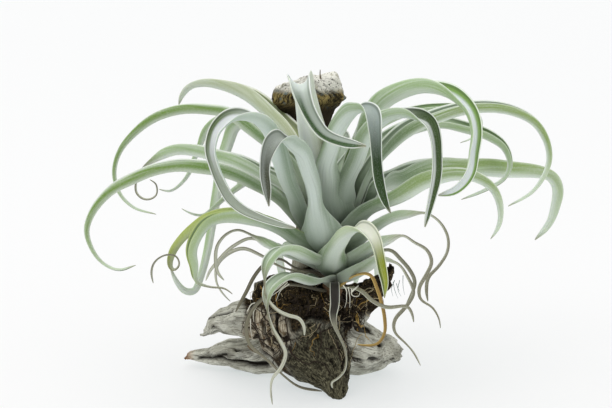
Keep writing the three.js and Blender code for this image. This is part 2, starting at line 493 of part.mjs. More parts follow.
// The route's smooth middle line with frames that don't spin, and the sections' places along it.
function leafStations(leaf) {
  const axisShare = (leaf.level - STEM_BOTTOM.z) / (STEM_TOP.z - STEM_BOTTOM.z);
  const onAxis = STEM_BOTTOM.clone().lerp(STEM_TOP, axisShare);
  const first = new THREE.Vector3(...leaf.route[0]);
  const outward = first.clone().sub(onAxis).setZ(0).normalize();
  const base = onAxis.clone().addScaledVector(outward, STEM_RADIUS - BASE_SINK);
  const points = [base, ...leaf.route.map((point) => new THREE.Vector3(...point))];
  const curve = new THREE.CatmullRomCurve3(points, false, "centripetal");
  curve.arcLengthDivisions = LENGTH_STEPS;
  const length = curve.getLength();
  const places = [];
  const face = new THREE.Vector3(0, 0, 1).addScaledVector(outward, -BACK_TILT);
  let lastTangent = curve.getTangentAt(0);
  face.addScaledVector(lastTangent, -face.dot(lastTangent)).normalize();
  let sinceStep = 0;
  let sinceTurn = 0;
  for (let i = 0; i <= LINE_STEPS; i++) {
    const share = i / LINE_STEPS;
    const tangent = curve.getTangentAt(share);
    const turn = lastTangent.angleTo(tangent);
    if (turn > 1e-6) {
      const axis = lastTangent.clone().cross(tangent).normalize();
      face.applyAxisAngle(axis, turn);
    }
    face.addScaledVector(tangent, -face.dot(tangent)).normalize();
    sinceStep += length / LINE_STEPS;
    sinceTurn += turn;
    lastTangent = tangent;
    const due = sinceStep + length / LINE_STEPS > LONGEST_STEP || sinceTurn > SHARPEST_STEP;
    if (i === 0 || i === LINE_STEPS || (due && length * (1 - share) > LAST_STEP)) {
      places.push({ centre: curve.getPointAt(share), tangent, face: face.clone(), distance: share * length });
      sinceStep = 0;
      sinceTurn = 0;
    }
  }
  for (const place of places) {
    const share = place.distance / length;
    const reach = BEND_REACH / length;
    const before = curve.getTangentAt(Math.max(share - reach, 0));
    const after = curve.getTangentAt(Math.min(share + reach, 1));
    const profile = leafProfile(leaf, place.distance, length, before.angleTo(after) / (2 * BEND_REACH));
    Object.assign(place, profile);
    place.face = channelFace(leaf, place.tangent, place.face, share).clone();
    const dryShare = Math.max(0, share - leaf.alive) / (1 - Math.min(leaf.alive, 0.999));
    place.face.applyAxisAngle(place.tangent, THREE.MathUtils.degToRad(leaf.twist * dryShare * profile.dried));
    place.side = place.tangent.clone().cross(place.face);
  }
  return places;
}

// A channelled blade: an arc of even steps across, thick along the middle and thin at both rims.
function bladeGeometry(leaf, across, grow) {
  const places = leafStations(leaf);
  const outer = [];
  const inner = [];
  const points = [];
  places.forEach((place, row) => {
    const { width, opening, depth, lift, body } = place;
    const radius = width / (2 * opening);
    const sunk = lift * (1 - Math.cos(opening));
    const atEnd = row === 0 ? -1 : row === places.length - 1 ? 1 : 0;
    const centre = place.centre.clone().addScaledVector(place.tangent, atEnd * grow);
    const rows = { out: [], in: [] };
    for (let j = 0; j < across; j++) {
      const share = (2 * j) / (across - 1) - 1;
      const angle = (opening + grow / radius) * share;
      const half = blend(body, EDGE, share ** 2) / 2 + grow;
      const middle = centre
        .clone()
        .addScaledVector(place.side, (radius / depth) * Math.sin(angle))
        .addScaledVector(place.face, radius * depth * (1 - Math.cos(angle) - sunk));
      const inward = place.side
        .clone()
        .multiplyScalar(-Math.sin(angle) * depth)
        .addScaledVector(place.face, Math.cos(angle) / depth)
        .normalize();
      rows.out.push(points.push(middle.clone().addScaledVector(inward, -half)) - 1);
      rows.in.push(points.push(middle.clone().addScaledVector(inward, half)) - 1);
    }
    outer.push(rows.out);
    inner.push(rows.in);
  });
  const triangles = [];
  const quad = (a, b, c, d) => triangles.push([a, b, c], [a, c, d]);
  for (let k = 0; k + 1 < places.length; k++) {
    for (let j = 0; j + 1 < across; j++) {
      quad(outer[k][j], outer[k][j + 1], outer[k + 1][j + 1], outer[k + 1][j]);
      triangles.push([inner[k][j], inner[k + 1][j + 1], inner[k][j + 1]]);
      triangles.push([inner[k][j], inner[k + 1][j], inner[k + 1][j + 1]]);
    }
    const last = across - 1;
    quad(inner[k][0], outer[k][0], outer[k + 1][0], inner[k + 1][0]);
    quad(outer[k][last], inner[k][last], inner[k + 1][last], outer[k + 1][last]);
  }
  const end = places.length - 1;
  for (let j = 0; j + 1 < across; j++) {
    quad(outer[0][j], inner[0][j], inner[0][j + 1], outer[0][j + 1]);
    quad(outer[end][j], outer[end][j + 1], inner[end][j + 1], inner[end][j]);
  }
  return closedGeometry(points, triangles);
}

// A limb of driftwood: oval sections whose outline is fluted along the grain.
function limbGeometry({ wide, rough, phase, jag, sections }) {
  const curve = new THREE.CatmullRomCurve3(
    sections.map(([x, y, z]) => new THREE.Vector3(x, y, z)),
    false,
    "centripetal",
  );
  const rows = Math.max(sections.length + 1, Math.ceil(curve.getLength() / WOOD_STEP));
  const points = [];
  for (let k = 0; k <= rows; k++) {
    const place = (k / rows) * (sections.length - 1);
    const low = Math.min(Math.floor(place), sections.length - 2);
    const share = place - low;
    const halfWide = blend(sections[low][3], sections[low + 1][3], share);
    const halfThin = blend(sections[low][4], sections[low + 1][4], share);
    const centre = curve.getPoint(k / rows);
    const tangent = curve.getTangent(k / rows);
    const across = wide.clone().addScaledVector(tangent, -wide.dot(tangent)).normalize();
    const other = tangent.clone().cross(across);
    for (let j = 0; j < WOOD_SIDES; j++) {
      const turn = (j / WOOD_SIDES) * 2 * Math.PI;
      const flute = Math.sin(5 * turn + phase + 0.11 * k) + 0.6 * Math.sin(3 * turn - 2 * phase + 0.5 * k);
      const knot = 0.5 * Math.sin(2 * turn + 1.3 * k + phase);
      const swell = 1 + rough * (flute + knot);
      const spike = k === rows ? jag * Math.sin(4 * turn + phase) : 0;
      points.push(
        centre
          .clone()
          .addScaledVector(across, halfWide * swell * Math.cos(turn))
          .addScaledVector(other, halfThin * swell * Math.sin(turn))
          .addScaledVector(tangent, spike),
      );
    }
  }
  const triangles = [];
  for (let k = 0; k < rows; k++) {
    for (let j = 0; j < WOOD_SIDES; j++) {
      const next = (j + 1) % WOOD_SIDES;
      const a = k * WOOD_SIDES + j;
      const b = k * WOOD_SIDES + next;
      const c = (k + 1) * WOOD_SIDES + next;
      const d = (k + 1) * WOOD_SIDES + j;
      triangles.push([a, b, c], [a, c, d]);
    }
  }
  const first = points.push(curve.getPoint(0)) - 1;
  const last = points.push(curve.getPoint(1)) - 1;
  const top = rows * WOOD_SIDES;
  for (let j = 0; j < WOOD_SIDES; j++) {
    const next = (j + 1) % WOOD_SIDES;
    triangles.push([first, next, j], [last, top + j, top + next]);
  }
  return closedGeometry(points, triangles);
}

function stemGeometry() {
  const profile = STEM_OUTLINE.map(([radius, height]) => new THREE.Vector2(radius, height));
  const geometry = new THREE.LatheGeometry(profile, STEM_SIDES);
  geometry.rotateX(Math.PI / 2);
  const along = STEM_TOP.clone().sub(STEM_BOTTOM).normalize();
  geometry.applyQuaternion(new THREE.Quaternion().setFromUnitVectors(new THREE.Vector3(0, 0, 1), along));
  geometry.translate(STEM_BOTTOM.x, STEM_BOTTOM.y, STEM_BOTTOM.z);
  return geometry;
}

const group = new THREE.Group();

function addPiece(name, solid, colour, roughness) {
  const material = new THREE.MeshStandardMaterial({ color: colour, roughness, metalness: 0 });
  const mesh = new THREE.Mesh(toGeometry(solid), material);
  mesh.name = name;
  group.add(mesh);
}

// The stem comes first; each leaf is then cut clear of all that lies before it.
const stem = toSolid(stemGeometry());
addPiece("plant_stem", stem, STEM_BROWN, 0.9);
let taken = stem;
for (const [rows, across] of [[LEAVES, ACROSS], [RIBBONS, RIBBON_ACROSS]]) {
  for (const leaf of rows) {
    const whole = toSolid(bladeGeometry(leaf, across, 0));
    const fat = toSolid(bladeGeometry(leaf, across, GAP));
    addPiece(leaf.name, largestBody(whole.subtract(taken)), leaf.colour, 0.8);
    taken = taken.add(fat);
  }
}

// The wood is one body of all its limbs, cut flat where it rests and clear of the plant.
const FLOOR_BLOCK = 400;
const below = new THREE.BoxGeometry(FLOOR_BLOCK, FLOOR_BLOCK, FLOOR_BLOCK);
below.translate(0, 0, -FLOOR_BLOCK / 2);
const limbs = WOOD.map((limb) => toSolid(limbGeometry(limb)));
const timber = limbs.reduce((sum, limb) => sum.add(limb)).subtract(toSolid(below));
addPiece("driftwood", largestBody(timber.subtract(taken)), WOOD_GREY, 0.95);

export default group;
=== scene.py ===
import math
import random

import bpy
import numpy as np
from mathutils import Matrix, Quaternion, Vector, noise
from mathutils.bvhtree import BVHTree


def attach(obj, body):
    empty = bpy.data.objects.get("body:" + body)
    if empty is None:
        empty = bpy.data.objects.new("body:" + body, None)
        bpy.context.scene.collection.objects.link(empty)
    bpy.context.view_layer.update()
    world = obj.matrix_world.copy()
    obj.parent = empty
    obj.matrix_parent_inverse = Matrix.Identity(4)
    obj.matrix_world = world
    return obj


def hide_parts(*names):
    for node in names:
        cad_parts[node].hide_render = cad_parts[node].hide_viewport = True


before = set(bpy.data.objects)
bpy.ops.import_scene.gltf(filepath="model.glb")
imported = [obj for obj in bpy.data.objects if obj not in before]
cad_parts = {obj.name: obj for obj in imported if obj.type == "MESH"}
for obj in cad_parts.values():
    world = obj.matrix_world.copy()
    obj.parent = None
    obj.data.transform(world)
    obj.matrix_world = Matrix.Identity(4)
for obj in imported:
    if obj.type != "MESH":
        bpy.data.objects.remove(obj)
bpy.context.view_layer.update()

# Where the plant is looked at from: a long lens a little above the table, square on to its front.
# The whole rosette fills the frame, so the lens stands nine tenths of a metre away.
MM = 0.001
LENS_DISTANCE = 900 * MM
LENS_HEIGHT_ANGLE = math.radians(12)
LOOKED_AT = Vector((-19 * MM, 0, 113 * MM))
LENS_LENGTH = 85
SENSOR_WIDTH = 36

bpy.ops.object.select_all(action="DESELECT")
back_along_view = Vector((0, -math.cos(LENS_HEIGHT_ANGLE), math.sin(LENS_HEIGHT_ANGLE)))
bpy.ops.object.camera_add(
    location=LOOKED_AT + back_along_view * LENS_DISTANCE,
    rotation=(math.radians(90) - LENS_HEIGHT_ANGLE, 0, 0),
)
camera = bpy.context.object
camera.name = "front_camera"
camera.data.lens = LENS_LENGTH
camera.data.sensor_width = SENSOR_WIDTH
camera.data.clip_end = 50
bpy.context.scene.camera = camera

# A white tabletop in a white room, lit softly from above and a little from behind, with a wide soft window
# light from the upper left. The tabletop glows a little by itself, so that the wood's shadows stay pale.
TABLE_SIZE = 14
TABLE_GLOW = 0.6
MOTTLES_PER_METRE = 1.5
WALL_LIGHT = 0.38
CEILING_PULL = (-0.138, 0.23, 1.115)
WINDOW_POWER = 10.5
WINDOW_SIZE = 1.4
WINDOW_PLACE = Vector((-1.3, -1.1, 1.7))
FILL_POWER = 5.5
FILL_PLACE = Vector((1.5, -0.9, 0.9))


def to_linear(hex_colour):
    """A colour picked in sRGB, as the shader wants it."""
    channels = [int(hex_colour[i:i + 2], 16) / 255 for i in (1, 3, 5)]
    linear = [c / 12.92 if c <= 0.04045 else ((c + 0.055) / 1.055) ** 2.4 for c in channels]
    return (*linear, 1)


def add_node(tree, kind, inputs=None, **settings):
    """A node with its settings, its plain inputs and its links."""
    node = tree.nodes.new(kind)
    for name, value in settings.items():
        setattr(node, name, value)
    for key, value in (inputs or {}).items():
        if isinstance(value, bpy.types.NodeSocket):
            tree.links.new(value, node.inputs[key])
        else:
            node.inputs[key].default_value = value
    return node


def new_material(name):
    """A bare material and its tree, with nothing in it."""
    material = bpy.data.materials.new(name)
    material.use_nodes = True
    material.node_tree.nodes.clear()
    return material, material.node_tree


def mix_colours(tree, factor, a, b, how="MIX"):
    """Two colours mixed, each a hex value or a socket."""
    sockets = {0: factor}
    for key, colour in ((6, a), (7, b)):
        sockets[key] = to_linear(colour) if isinstance(colour, str) else colour
    return add_node(tree, "ShaderNodeMix", sockets, data_type="RGBA", blend_type=how).outputs[2]


def coat_matter(tree, inputs):
    """The surface of a material, from its colour, roughness and the rest."""
    surface = add_node(tree, "ShaderNodeBsdfPrincipled", inputs)
    add_node(tree, "ShaderNodeOutputMaterial", {"Surface": surface.outputs[0]})


def aim_light(light, target):
    """Turns a light to face a point."""
    light.rotation_euler = (target - light.location).to_track_quat("-Z", "Y").to_euler()


bpy.ops.mesh.primitive_plane_add(size=TABLE_SIZE, location=(0, 0, 0))
table = bpy.context.object
table.name = "white_tabletop"
glowing_top, tree = new_material("grey tabletop glowing white")
mottle = add_node(tree, "ShaderNodeTexNoise", {"Scale": MOTTLES_PER_METRE, "Detail": 3.0}).outputs["Fac"]
# Painted light: the tabletop glows by itself, which lifts the shadows that the wood casts on it.
coat_matter(tree, {
    "Base Color": mix_colours(tree, mottle, "#9c9594", "#9e9796"), "Roughness": 0.6,
    "Specular IOR Level": 0.2, "Emission Color": to_linear("#eff7f8"), "Emission Strength": TABLE_GLOW,
})
table.data.materials.append(glowing_top)

world = bpy.data.worlds.new("white room")
bpy.context.scene.world = world
world.use_nodes = True
room = world.node_tree
direction = add_node(room, "ShaderNodeTexCoord").outputs["Generated"]
pull = {0: direction, 1: CEILING_PULL}
toward_light = add_node(room, "ShaderNodeVectorMath", pull, operation="DOT_PRODUCT").outputs["Value"]
glow = add_node(room, "ShaderNodeMath", {0: toward_light, 1: WALL_LIGHT}, operation="ADD")
lit = add_node(room, "ShaderNodeMath", {0: glow.outputs[0], 1: 0.0}, operation="MAXIMUM")
room.links.new(lit.outputs[0], room.nodes["Background"].inputs["Strength"])
room.nodes["Background"].inputs["Color"].default_value = to_linear("#ffffff")

for name, place, power, size in [
    ("window_light", WINDOW_PLACE, WINDOW_POWER, WINDOW_SIZE),
    ("fill_light", FILL_PLACE, FILL_POWER, WINDOW_SIZE),
]:
    bpy.ops.object.light_add(type="AREA", location=place)
    light = bpy.context.object
    light.name = name
    light.data.energy = power
    light.data.size = size
    aim_light(light, LOOKED_AT)
bpy.context.scene.view_settings.view_transform = "Standard"
bpy.ops.object.select_all(action="DESELECT")

# The leaves: long tapering blades rolled into a channel, widening at the foot into a sheath round the stem.
# Each is living tissue a millimetre or two thick, felted all over with fine silvery scales.
# Old tips dry and curl up.
STEM_BOTTOM = Vector((-2, -16, 59))
STEM_TOP = Vector((-4, -10, 104))
STEM_RADIUS = 6.5
BASE_SINK = 1.5
BACK_TILT = 0.6
SHEATH_AT = 22
NECK_AT = 50
WAIST_LEAD = 6
WAIST_RUN = 34
SHEATH_SHARE = 0.45
NECK_SHARE = 0.42
BASE_SHARE = 0.3
SHEATH_OPENING = 0.95
BLADE_OPENING = 1.7
TIP_OPENING = 1.3
DRY_OPENING = 1.2
LEAF_BODY = 2.2
TIP_BODY = 1.0
POINT_BODY = 0.5
RIM = 0.6
DRY_BODY = 0.9
DRY_WIDTH = 3.0
DRY_TIP_SHARE = 0.75
DRYING_SHARE = 0.06
THREAD_WIDTH = 2
FOLD_FLATTENING = 8
CHANNEL_DEPTH = 1.3
DEPTH_RUN = 40
DEEP_WIDTHS = (7, 12)
ROLL_LAG = 24
TIP_FROM = 0.4
LINE_HEIGHT = 0.5
TIP_LINE_HEIGHT = 0.25
OUTER_FROM, OUTER_TO = 0.3, 0.6
LIFT_LEAD = 10
LIFT_RUN = 20
BEND_REACH = 3
TIP_LOSS = 0.86
TIP_POWER = 1.8
POINT_LENGTH = 9
ROW_STEP = 2.6
COLUMNS = 8
FINE_STEPS = 26


def smooth(low, high, value):
    """0 below low, 1 above high, and a soft S between."""
    share = min(max((value - low) / (high - low), 0), 1)
    return share * share * (3 - 2 * share)


def blend(a, b, share):
    return a + (b - a) * share


def smooth_path(points, steps):
    """A centripetal Catmull-Rom line through the points, as many close points in millimetres."""
    first = points[0] * 2 - points[1]
    last = points[-1] * 2 - points[-2]
    padded = [first, *points, last]
    path = []
    for i in range(1, len(padded) - 2):
        p0, p1, p2, p3 = padded[i - 1:i + 3]
        d0, d1, d2 = (math.sqrt((b - a).length) for a, b in ((p0, p1), (p1, p2), (p2, p3)))
        start = ((p1 - p0) / d0 - (p2 - p0) / (d0 + d1) + (p2 - p1) / d1) * d1
        end = ((p2 - p1) / d1 - (p3 - p1) / (d1 + d2) + (p3 - p2) / d2) * d1
        for k in range(steps):
            t = k / steps
            path.append(
                p1 + start * t + (p1 * -3 + p2 * 3 - start * 2 - end) * t ** 2
                + (p1 * 2 - p2 * 2 + start + end) * t ** 3
            )
    return [*path, points[-1]]


def even_path(path, step):
    """The same line cut into even steps: its points, and their distances from its start."""
    marks = [0]
    for a, b in zip(path, path[1:]):
        marks.append(marks[-1] + (b - a).length)
    count = max(8, round(marks[-1] / step))
    points = []
    i = 0
    for k in range(count + 1):
        distance = marks[-1] * k / count
        while i + 2 < len(marks) and marks[i + 1] < distance:
            i += 1
        share = (distance - marks[i]) / (marks[i + 1] - marks[i])
        points.append(path[i].lerp(path[i + 1], min(share, 1)))
    return points, [marks[-1] * k / count for k in range(count + 1)]


def leaf_width(sheath, waist, blade, bulb, taper, alive, distance, length, bend):
    """Flat width, half opening, depth, line height, thickness and dryness at a distance from the foot."""
    neck = min(NECK_AT + bulb - SHEATH_AT, length * NECK_SHARE)
    widest = min(bulb, neck * SHEATH_SHARE * bulb / SHEATH_AT)
    to_tip = min(max((distance - neck) / (length - neck), 0), 1)
    if distance < widest:
        width = sheath * blend(BASE_SHARE, 1, smooth(0, widest, distance))
    else:
        width = blend(sheath, waist, smooth(widest, neck, distance))
        width = blend(width, blade, smooth(neck - WAIST_LEAD, neck + WAIST_RUN, distance))
    width *= 1 - TIP_LOSS * to_tip ** taper
    flattened = 1 + (bend * FOLD_FLATTENING) ** 2
    opening = blend(SHEATH_OPENING, BLADE_OPENING, smooth(widest, neck + ROLL_LAG, distance))
    opening = blend(opening, TIP_OPENING, smooth(TIP_FROM, 1, to_tip)) / flattened
    deepened = smooth(neck, neck + DEPTH_RUN, distance) * smooth(*DEEP_WIDTHS, width)
    depth = 1 + (CHANNEL_DEPTH - 1) * deepened / flattened
    lift = blend(LINE_HEIGHT, TIP_LINE_HEIGHT, smooth(OUTER_FROM, OUTER_TO, to_tip))
    lift *= smooth(neck - LIFT_LEAD, neck + LIFT_RUN, distance)
    body = blend(LEAF_BODY, TIP_BODY, to_tip)
    dryness = 0
    if alive < 1:
        dryness = smooth(alive - DRYING_SHARE, alive + DRYING_SHARE, distance / length)
        shrunk = max(min(width, DRY_WIDTH) * blend(1, DRY_TIP_SHARE, to_tip), THREAD_WIDTH)
        width = blend(width, shrunk, dryness)
        opening = blend(opening, DRY_OPENING, dryness)
        depth = blend(depth, 1, dryness)
        body = blend(body, DRY_BODY, dryness)
    point = math.sqrt(smooth(-1, POINT_LENGTH, length - distance))
    return max(width, THREAD_WIDTH) * point, opening, depth, lift, blend(POINT_BODY, body, point), dryness


def leaf_sections(sheath, waist, blade, bulb, taper, level, facing, alive, twist, route):
    """Sections along a leaf, each with its place, its directions and its measures."""
    on_axis = STEM_BOTTOM.lerp(STEM_TOP, (level - STEM_BOTTOM.z) / (STEM_TOP.z - STEM_BOTTOM.z))
    outward = Vector(route[0]) - on_axis
    outward.z = 0
    outward.normalize()
    foot = on_axis + outward * (STEM_RADIUS - BASE_SINK)
    points, marks = even_path(smooth_path([foot, *map(Vector, route)], FINE_STEPS), ROW_STEP)
    face = Vector((0, 0, 1)) - outward * BACK_TILT
    sections = []
    last = len(points) - 1
    spans = [(max(k - BEND_REACH, 0), min(k + BEND_REACH, last)) for k in range(len(points))]
    runs = [points[after] - points[before] for before, after in spans]
    bends = [runs[before].angle(runs[after]) / (2 * BEND_REACH * ROW_STEP) for before, after in spans]
    last_along = (points[1] - points[0]).normalized()
    for k, (point, mark) in enumerate(zip(points, marks)):
        along = (points[min(k + 1, last)] - points[max(k - 1, 0)]).normalized()
        face = last_along.rotation_difference(along) @ face
        face = (face - along * face.dot(along)).normalized()
        last_along = along
        width, opening, depth, lift, body, dryness = leaf_width(
            sheath, waist, blade, bulb, taper, alive, mark, marks[-1], bends[k]
        )
        opens_to = face
        reach = mark / marks[-1]
        for (start, a), (end, b) in zip(facing, facing[1:]):
            if start <= reach <= end:
                wanted = Vector(a).lerp(Vector(b), smooth(start, end, reach))
                opens_to = (wanted - along * wanted.dot(along)).normalized()
                if start == facing[0][0]:
                    opens_to = face.slerp(opens_to, smooth(start, end, reach))
        dried_length = max(0, reach - alive) / (1 - min(alive, 0.999))
        turned = Quaternion(along, math.radians(twist * dried_length * dryness)) @ opens_to
        sections.append({
            "centre": point, "along": along, "face": turned, "side": along.cross(turned), "mark": mark,
            "width": width, "opening": opening, "depth": depth, "lift": lift, "body": body,
            "dryness": dryness,
        })
    return sections


VEIN_SPACING = 0.9 * MM
VEIN_RUN = 40 * MM
VEIN_DEPTH = 0.3 * MM
BAND_WIDTH = 3.2 * MM
BAND_RUN = 70 * MM
SCALE_SIZE = 0.8 * MM
SCALE_DEPTH = 0.12 * MM
# Painted shade for the leaves' feet, where the rosette crowds: a broad shade, then a deeper one nearer the
# foot.
SHADED_FOOT = "#8a9681"
DEEP_SHADE_AT_FOOT = "#6a6e59"
FOOT_BROWN = "#5d5745"
DRY_BROWN = "#8f8b70"
DRY_PALE = "#bfc1b0"
DRY_DARK = "#5d5840"
RIM_SHADOW = "#7f8a74"


def speckle(tree, vector, scale, detail, **settings):
    """Fine random speckle, as a share between 0 and 1."""
    inputs = {"Vector": vector, "Scale": scale, "Detail": detail, **settings}
    return add_node(tree, "ShaderNodeTexNoise", inputs).outputs["Fac"]


def painting_steps(tree):
    """The steps that skins and wood are painted with: marks, noise, ramps, mixes, products and spans."""

    def mark(name):
        return add_node(tree, "ShaderNodeAttribute", attribute_name=name).outputs["Fac"]

    def grit(vector, scale, detail, **settings):
        return speckle(tree, vector, scale, detail, **settings)

    def ramp(value, low, high):
        inputs = {"Value": value, "From Min": low, "From Max": high}
        return add_node(tree, "ShaderNodeMapRange", inputs, interpolation_type="SMOOTHSTEP").outputs[0]

    def mix(factor, a, b, how="MIX"):
        return mix_colours(tree, factor, a, b, how)

    def times(a, b):
        return add_node(tree, "ShaderNodeMath", {0: a, 1: b}, operation="MULTIPLY").outputs[0]

    def span(value, low, high):
        inputs = {"Value": value, "To Min": low, "To Max": high}
        return add_node(tree, "ShaderNodeMapRange", inputs).outputs[0]

    return mark, grit, ramp, mix, times, span


def stretched(tree, vector, *sizes):
    """A place to read a pattern from, whose grains have these sizes along the vector's three directions."""
    scale = tuple(1 / size for size in sizes)
    return add_node(tree, "ShaderNodeMapping", {"Vector": vector, "Scale": scale}).outputs[0]


def relief(tree, height, depth, strength, under=None):
    """Fine relief on the surface, laid over coarser relief where there is some."""
    inputs = {"Height": height, "Strength": strength, "Distance": depth}
    if under:
        inputs["Normal"] = under
    return add_node(tree, "ShaderNodeBump", inputs).outputs[0]


def new_skin(
    name, back, edge, channel, channel_side, rim, felt, channel_left=None, split=(-0.35, 0.3), green_from=0.0,
    shaded_edge_foot="#6b8759", channel_tip=None, deep_shade_to=0.22, dry=DRY_BROWN, dry_pale=DRY_PALE, dry_dark=DRY_DARK,
):
    """Living leaf skin under silvery scales: matt, pale and faintly velvety, with fine lengthwise veins."""
    material, tree = new_material(name)
    mark, grit, ramp, mix, times, span = painting_steps(tree)
    lie = add_node(tree, "ShaderNodeAttribute", attribute_name="lie").outputs["Vector"]
    share, inside, dryness, reach = map(mark, ("share", "inside", "dryness", "reach"))
    place = add_node(tree, "ShaderNodeTexCoord").outputs["Object"]
    off_middle = add_node(tree, "ShaderNodeMath", {0: share}, operation="ABSOLUTE").outputs[0]
    veins = grit(stretched(tree, lie, VEIN_SPACING, VEIN_RUN, 1), 1.0, 2.0)
    bands = grit(stretched(tree, lie, BAND_WIDTH, BAND_RUN, 1), 1.0, 2.0)
    scales = grit(place, 1 / SCALE_SIZE, 4.0, Roughness=0.65)

    edge_share = times(ramp(off_middle, 0.2, 0.7), span(ramp(bands, 0.25, 0.6), 0.55, 1))
    # Towards the foot the green edge darkens: partly the leaf's own tone, partly painted shade near the
    # rosette's middle.
    edge_skin = mix(ramp(reach, 0.55, 0.25), edge, shaded_edge_foot)
    edge_skin = mix(times(ramp(reach, 0.74, 0.94), 0.65), edge_skin, back)
    back_skin = mix(times(edge_share, ramp(reach, 0.1, 0.3)), back, edge_skin)
    back_skin = mix(times(ramp(bands, 0.52, 0.74), 0.35), back_skin, felt)
    green_run = ramp(reach, green_from, green_from + 0.16)
    deep_channel = mix(ramp(share, *split), channel, channel_left or channel)
    if channel_tip:
        deep_channel = mix(ramp(reach, 0.62, 0.78), deep_channel, channel_tip)
    channel_skin = mix(green_run, channel_side, deep_channel)
    channel_skin = mix(times(ramp(bands, 0.48, 0.7), 0.2), channel_skin, channel_side)
    skin = mix(inside, back_skin, channel_skin)
    bald = times(span(edge_share, 1, 0.35), span(inside, 0.34, 0.1))
    skin = mix(times(ramp(scales, 0.46, 0.64), bald), skin, felt)
    skin = mix(times(ramp(veins, 0.5, 0.72), span(inside, 0.3, 0.12)), skin, channel_side)
    skin = mix(times(ramp(veins, 0.44, 0.28), span(inside, 0.22, 0.08)), skin, rim)
    beside_rim = times(ramp(off_middle, 0.66, 0.82), ramp(off_middle, 0.94, 0.88))
    skin = mix(times(times(beside_rim, inside), 0.55), skin, RIM_SHADOW, "MULTIPLY")
    skin = mix(times(ramp(off_middle, 0.9, 0.98), span(inside, 0.2, 0.85)), skin, rim)
    # Painted shade: the skin darkens towards each leaf's foot, in the crowded middle of the rosette.
    skin = mix(times(ramp(reach, 0.46, 0.1), 0.7), skin, SHADED_FOOT, "MULTIPLY")
    skin = mix(times(ramp(reach, deep_shade_to, 0.04), 0.85), skin, DEEP_SHADE_AT_FOOT, "MULTIPLY")
    skin = mix(times(ramp(reach, 0.13, 0.03), span(ramp(veins, 0.35, 0.65), 0.45, 0.9)), skin, FOOT_BROWN)
    skin = mix(times(ramp(reach, 0.965, 1.0), 0.6), skin, dry)
    dark_side = {0: ramp(share, -0.2, -0.75), 1: times(inside, 0.8)}
    dark_side = add_node(tree, "ShaderNodeMath", dark_side, operation="MAXIMUM").outputs[0]
    dry_skin = mix(times(dark_side, 0.8), dry_pale, dry_dark)
    dry_skin = mix(times(ramp(veins, 0.45, 0.65), 0.55), dry_skin, dry)
    dry_skin = mix(times(ramp(scales, 0.5, 0.7), 0.5), dry_skin, dry_pale)
    skin = mix(dryness, skin, dry_skin)

    vein_relief = relief(tree, veins, VEIN_DEPTH, 0.45)
    coat_matter(tree, {
        "Base Color": skin, "Roughness": span(scales, 0.5, 0.8),
        "Normal": relief(tree, scales, SCALE_DEPTH, 0.3, vein_relief),
        "Specular IOR Level": 0.4, "Sheen Weight": 0.14, "Sheen Roughness": 0.4,
        "Subsurface Weight": 0.1, "Subsurface Radius": (1.0, 1.2, 0.5), "Subsurface Scale": 1.0 * MM,
    })
    return material


SILVER_COAT = new_skin(
    "silver scaled green leaf", back="#dce7da", edge="#87a154", channel="#54743a", channel_side="#a9b8a3",
    rim="#f4f8f3", felt="#e6ede6", green_from=0.55,
)
FRESH_COAT = new_skin(
    "silver scaled leaf with a fresh green edge", back="#ced9c6", edge="#6d8f2c", channel="#54743a",
    channel_side="#a2b593", rim="#eff4ee", felt="#dde6de", green_from=0.55, shaded_edge_foot="#6b8b52",
)
BRIGHT_COAT = new_skin(
    "silver scaled leaf with a bright green channel side", back="#dae5d6", edge="#98b57a", channel="#7fa350",
    channel_side="#b3c3a8", channel_left="#e1e8e8", split=(-0.65, -0.35), rim="#f3f7f2", felt="#dde6de",
    shaded_edge_foot="#7f9a68",
)
ARCH_COAT = new_skin(
    "silver scaled leaf with a lavender channel", back="#d3dfd8", edge="#b9c9ba", channel="#dfe3e5",
    channel_side="#e0e6e2", channel_left="#5f7344", split=(0.3, 0.62), channel_tip="#a3ad9c", rim="#f2f5f1",
    felt="#dde6de", green_from=0.46, shaded_edge_foot="#93a98c",
)
FOLD_COAT = new_skin(
    "silver scaled leaf with a streaked green channel", back="#d8e0d7", edge="#c3ccb8", channel="#b7c2b6",
    channel_side="#d6ded9", channel_left="#2a4d12", split=(-0.4, 0.05), rim="#eef2ed", felt="#dfe5df",
    green_from=0.63, shaded_edge_foot="#a3a578",
)
DEEP_COAT = new_skin(
    "silver scaled leaf with a deep green channel", back="#d0dcd2", edge="#93ab7e", channel="#24430a",
    channel_side="#98a49e", channel_left="#3f5c28", split=(0.45, 0.8), rim="#e9efe8", felt="#d9e2da",
    green_from=0.69, shaded_edge_foot="#84987a",
)
GREY_GREEN_COAT = new_skin(
    "silver scaled leaf with a grey and olive channel", back="#d0dcd2", edge="#9cb387", channel="#3b5320",
    channel_side="#8d938b", channel_left="#d3dad4", split=(0.0, 0.35), rim="#e9efe8", felt="#d9e2da",
    green_from=0.52, shaded_edge_foot="#84987a",
)
LILAC_COAT = new_skin(
    "silver scaled leaf with a lilac brown channel", back="#cedad2", edge="#a9b9a9", channel="#454936",
    channel_side="#969d95", channel_left="#8b9189", split=(-0.1, 0.5), rim="#dfe4df", felt="#d9e2da",
    green_from=0.74, deep_shade_to=0.19, shaded_edge_foot="#97a893",
)
PALE_COAT = new_skin(
    "pale silver scaled leaf", back="#dde6dc", edge="#9cb682", channel="#7c9765", channel_side="#b5c4ad",
    rim="#f1f5f0", felt="#e1e9e1", green_from=0.5, shaded_edge_foot="#8da27c",
)
AGED_COAT = new_skin(
    "silver scaled leaf yellowing with age", back="#d3dccf", edge="#a9b48c", channel="#a3ad80",
    channel_side="#bfc8b3", rim="#eef1ea", felt="#e3e8df", shaded_edge_foot="#a9ae84",
)
LIME_COAT = new_skin(
    "silver scaled leaf with lime green rims", back="#c6d3c2", edge="#a2b784", channel="#8fa766",
    channel_side="#b3bdb5", rim="#aab56b", felt="#dbe4d8",
)
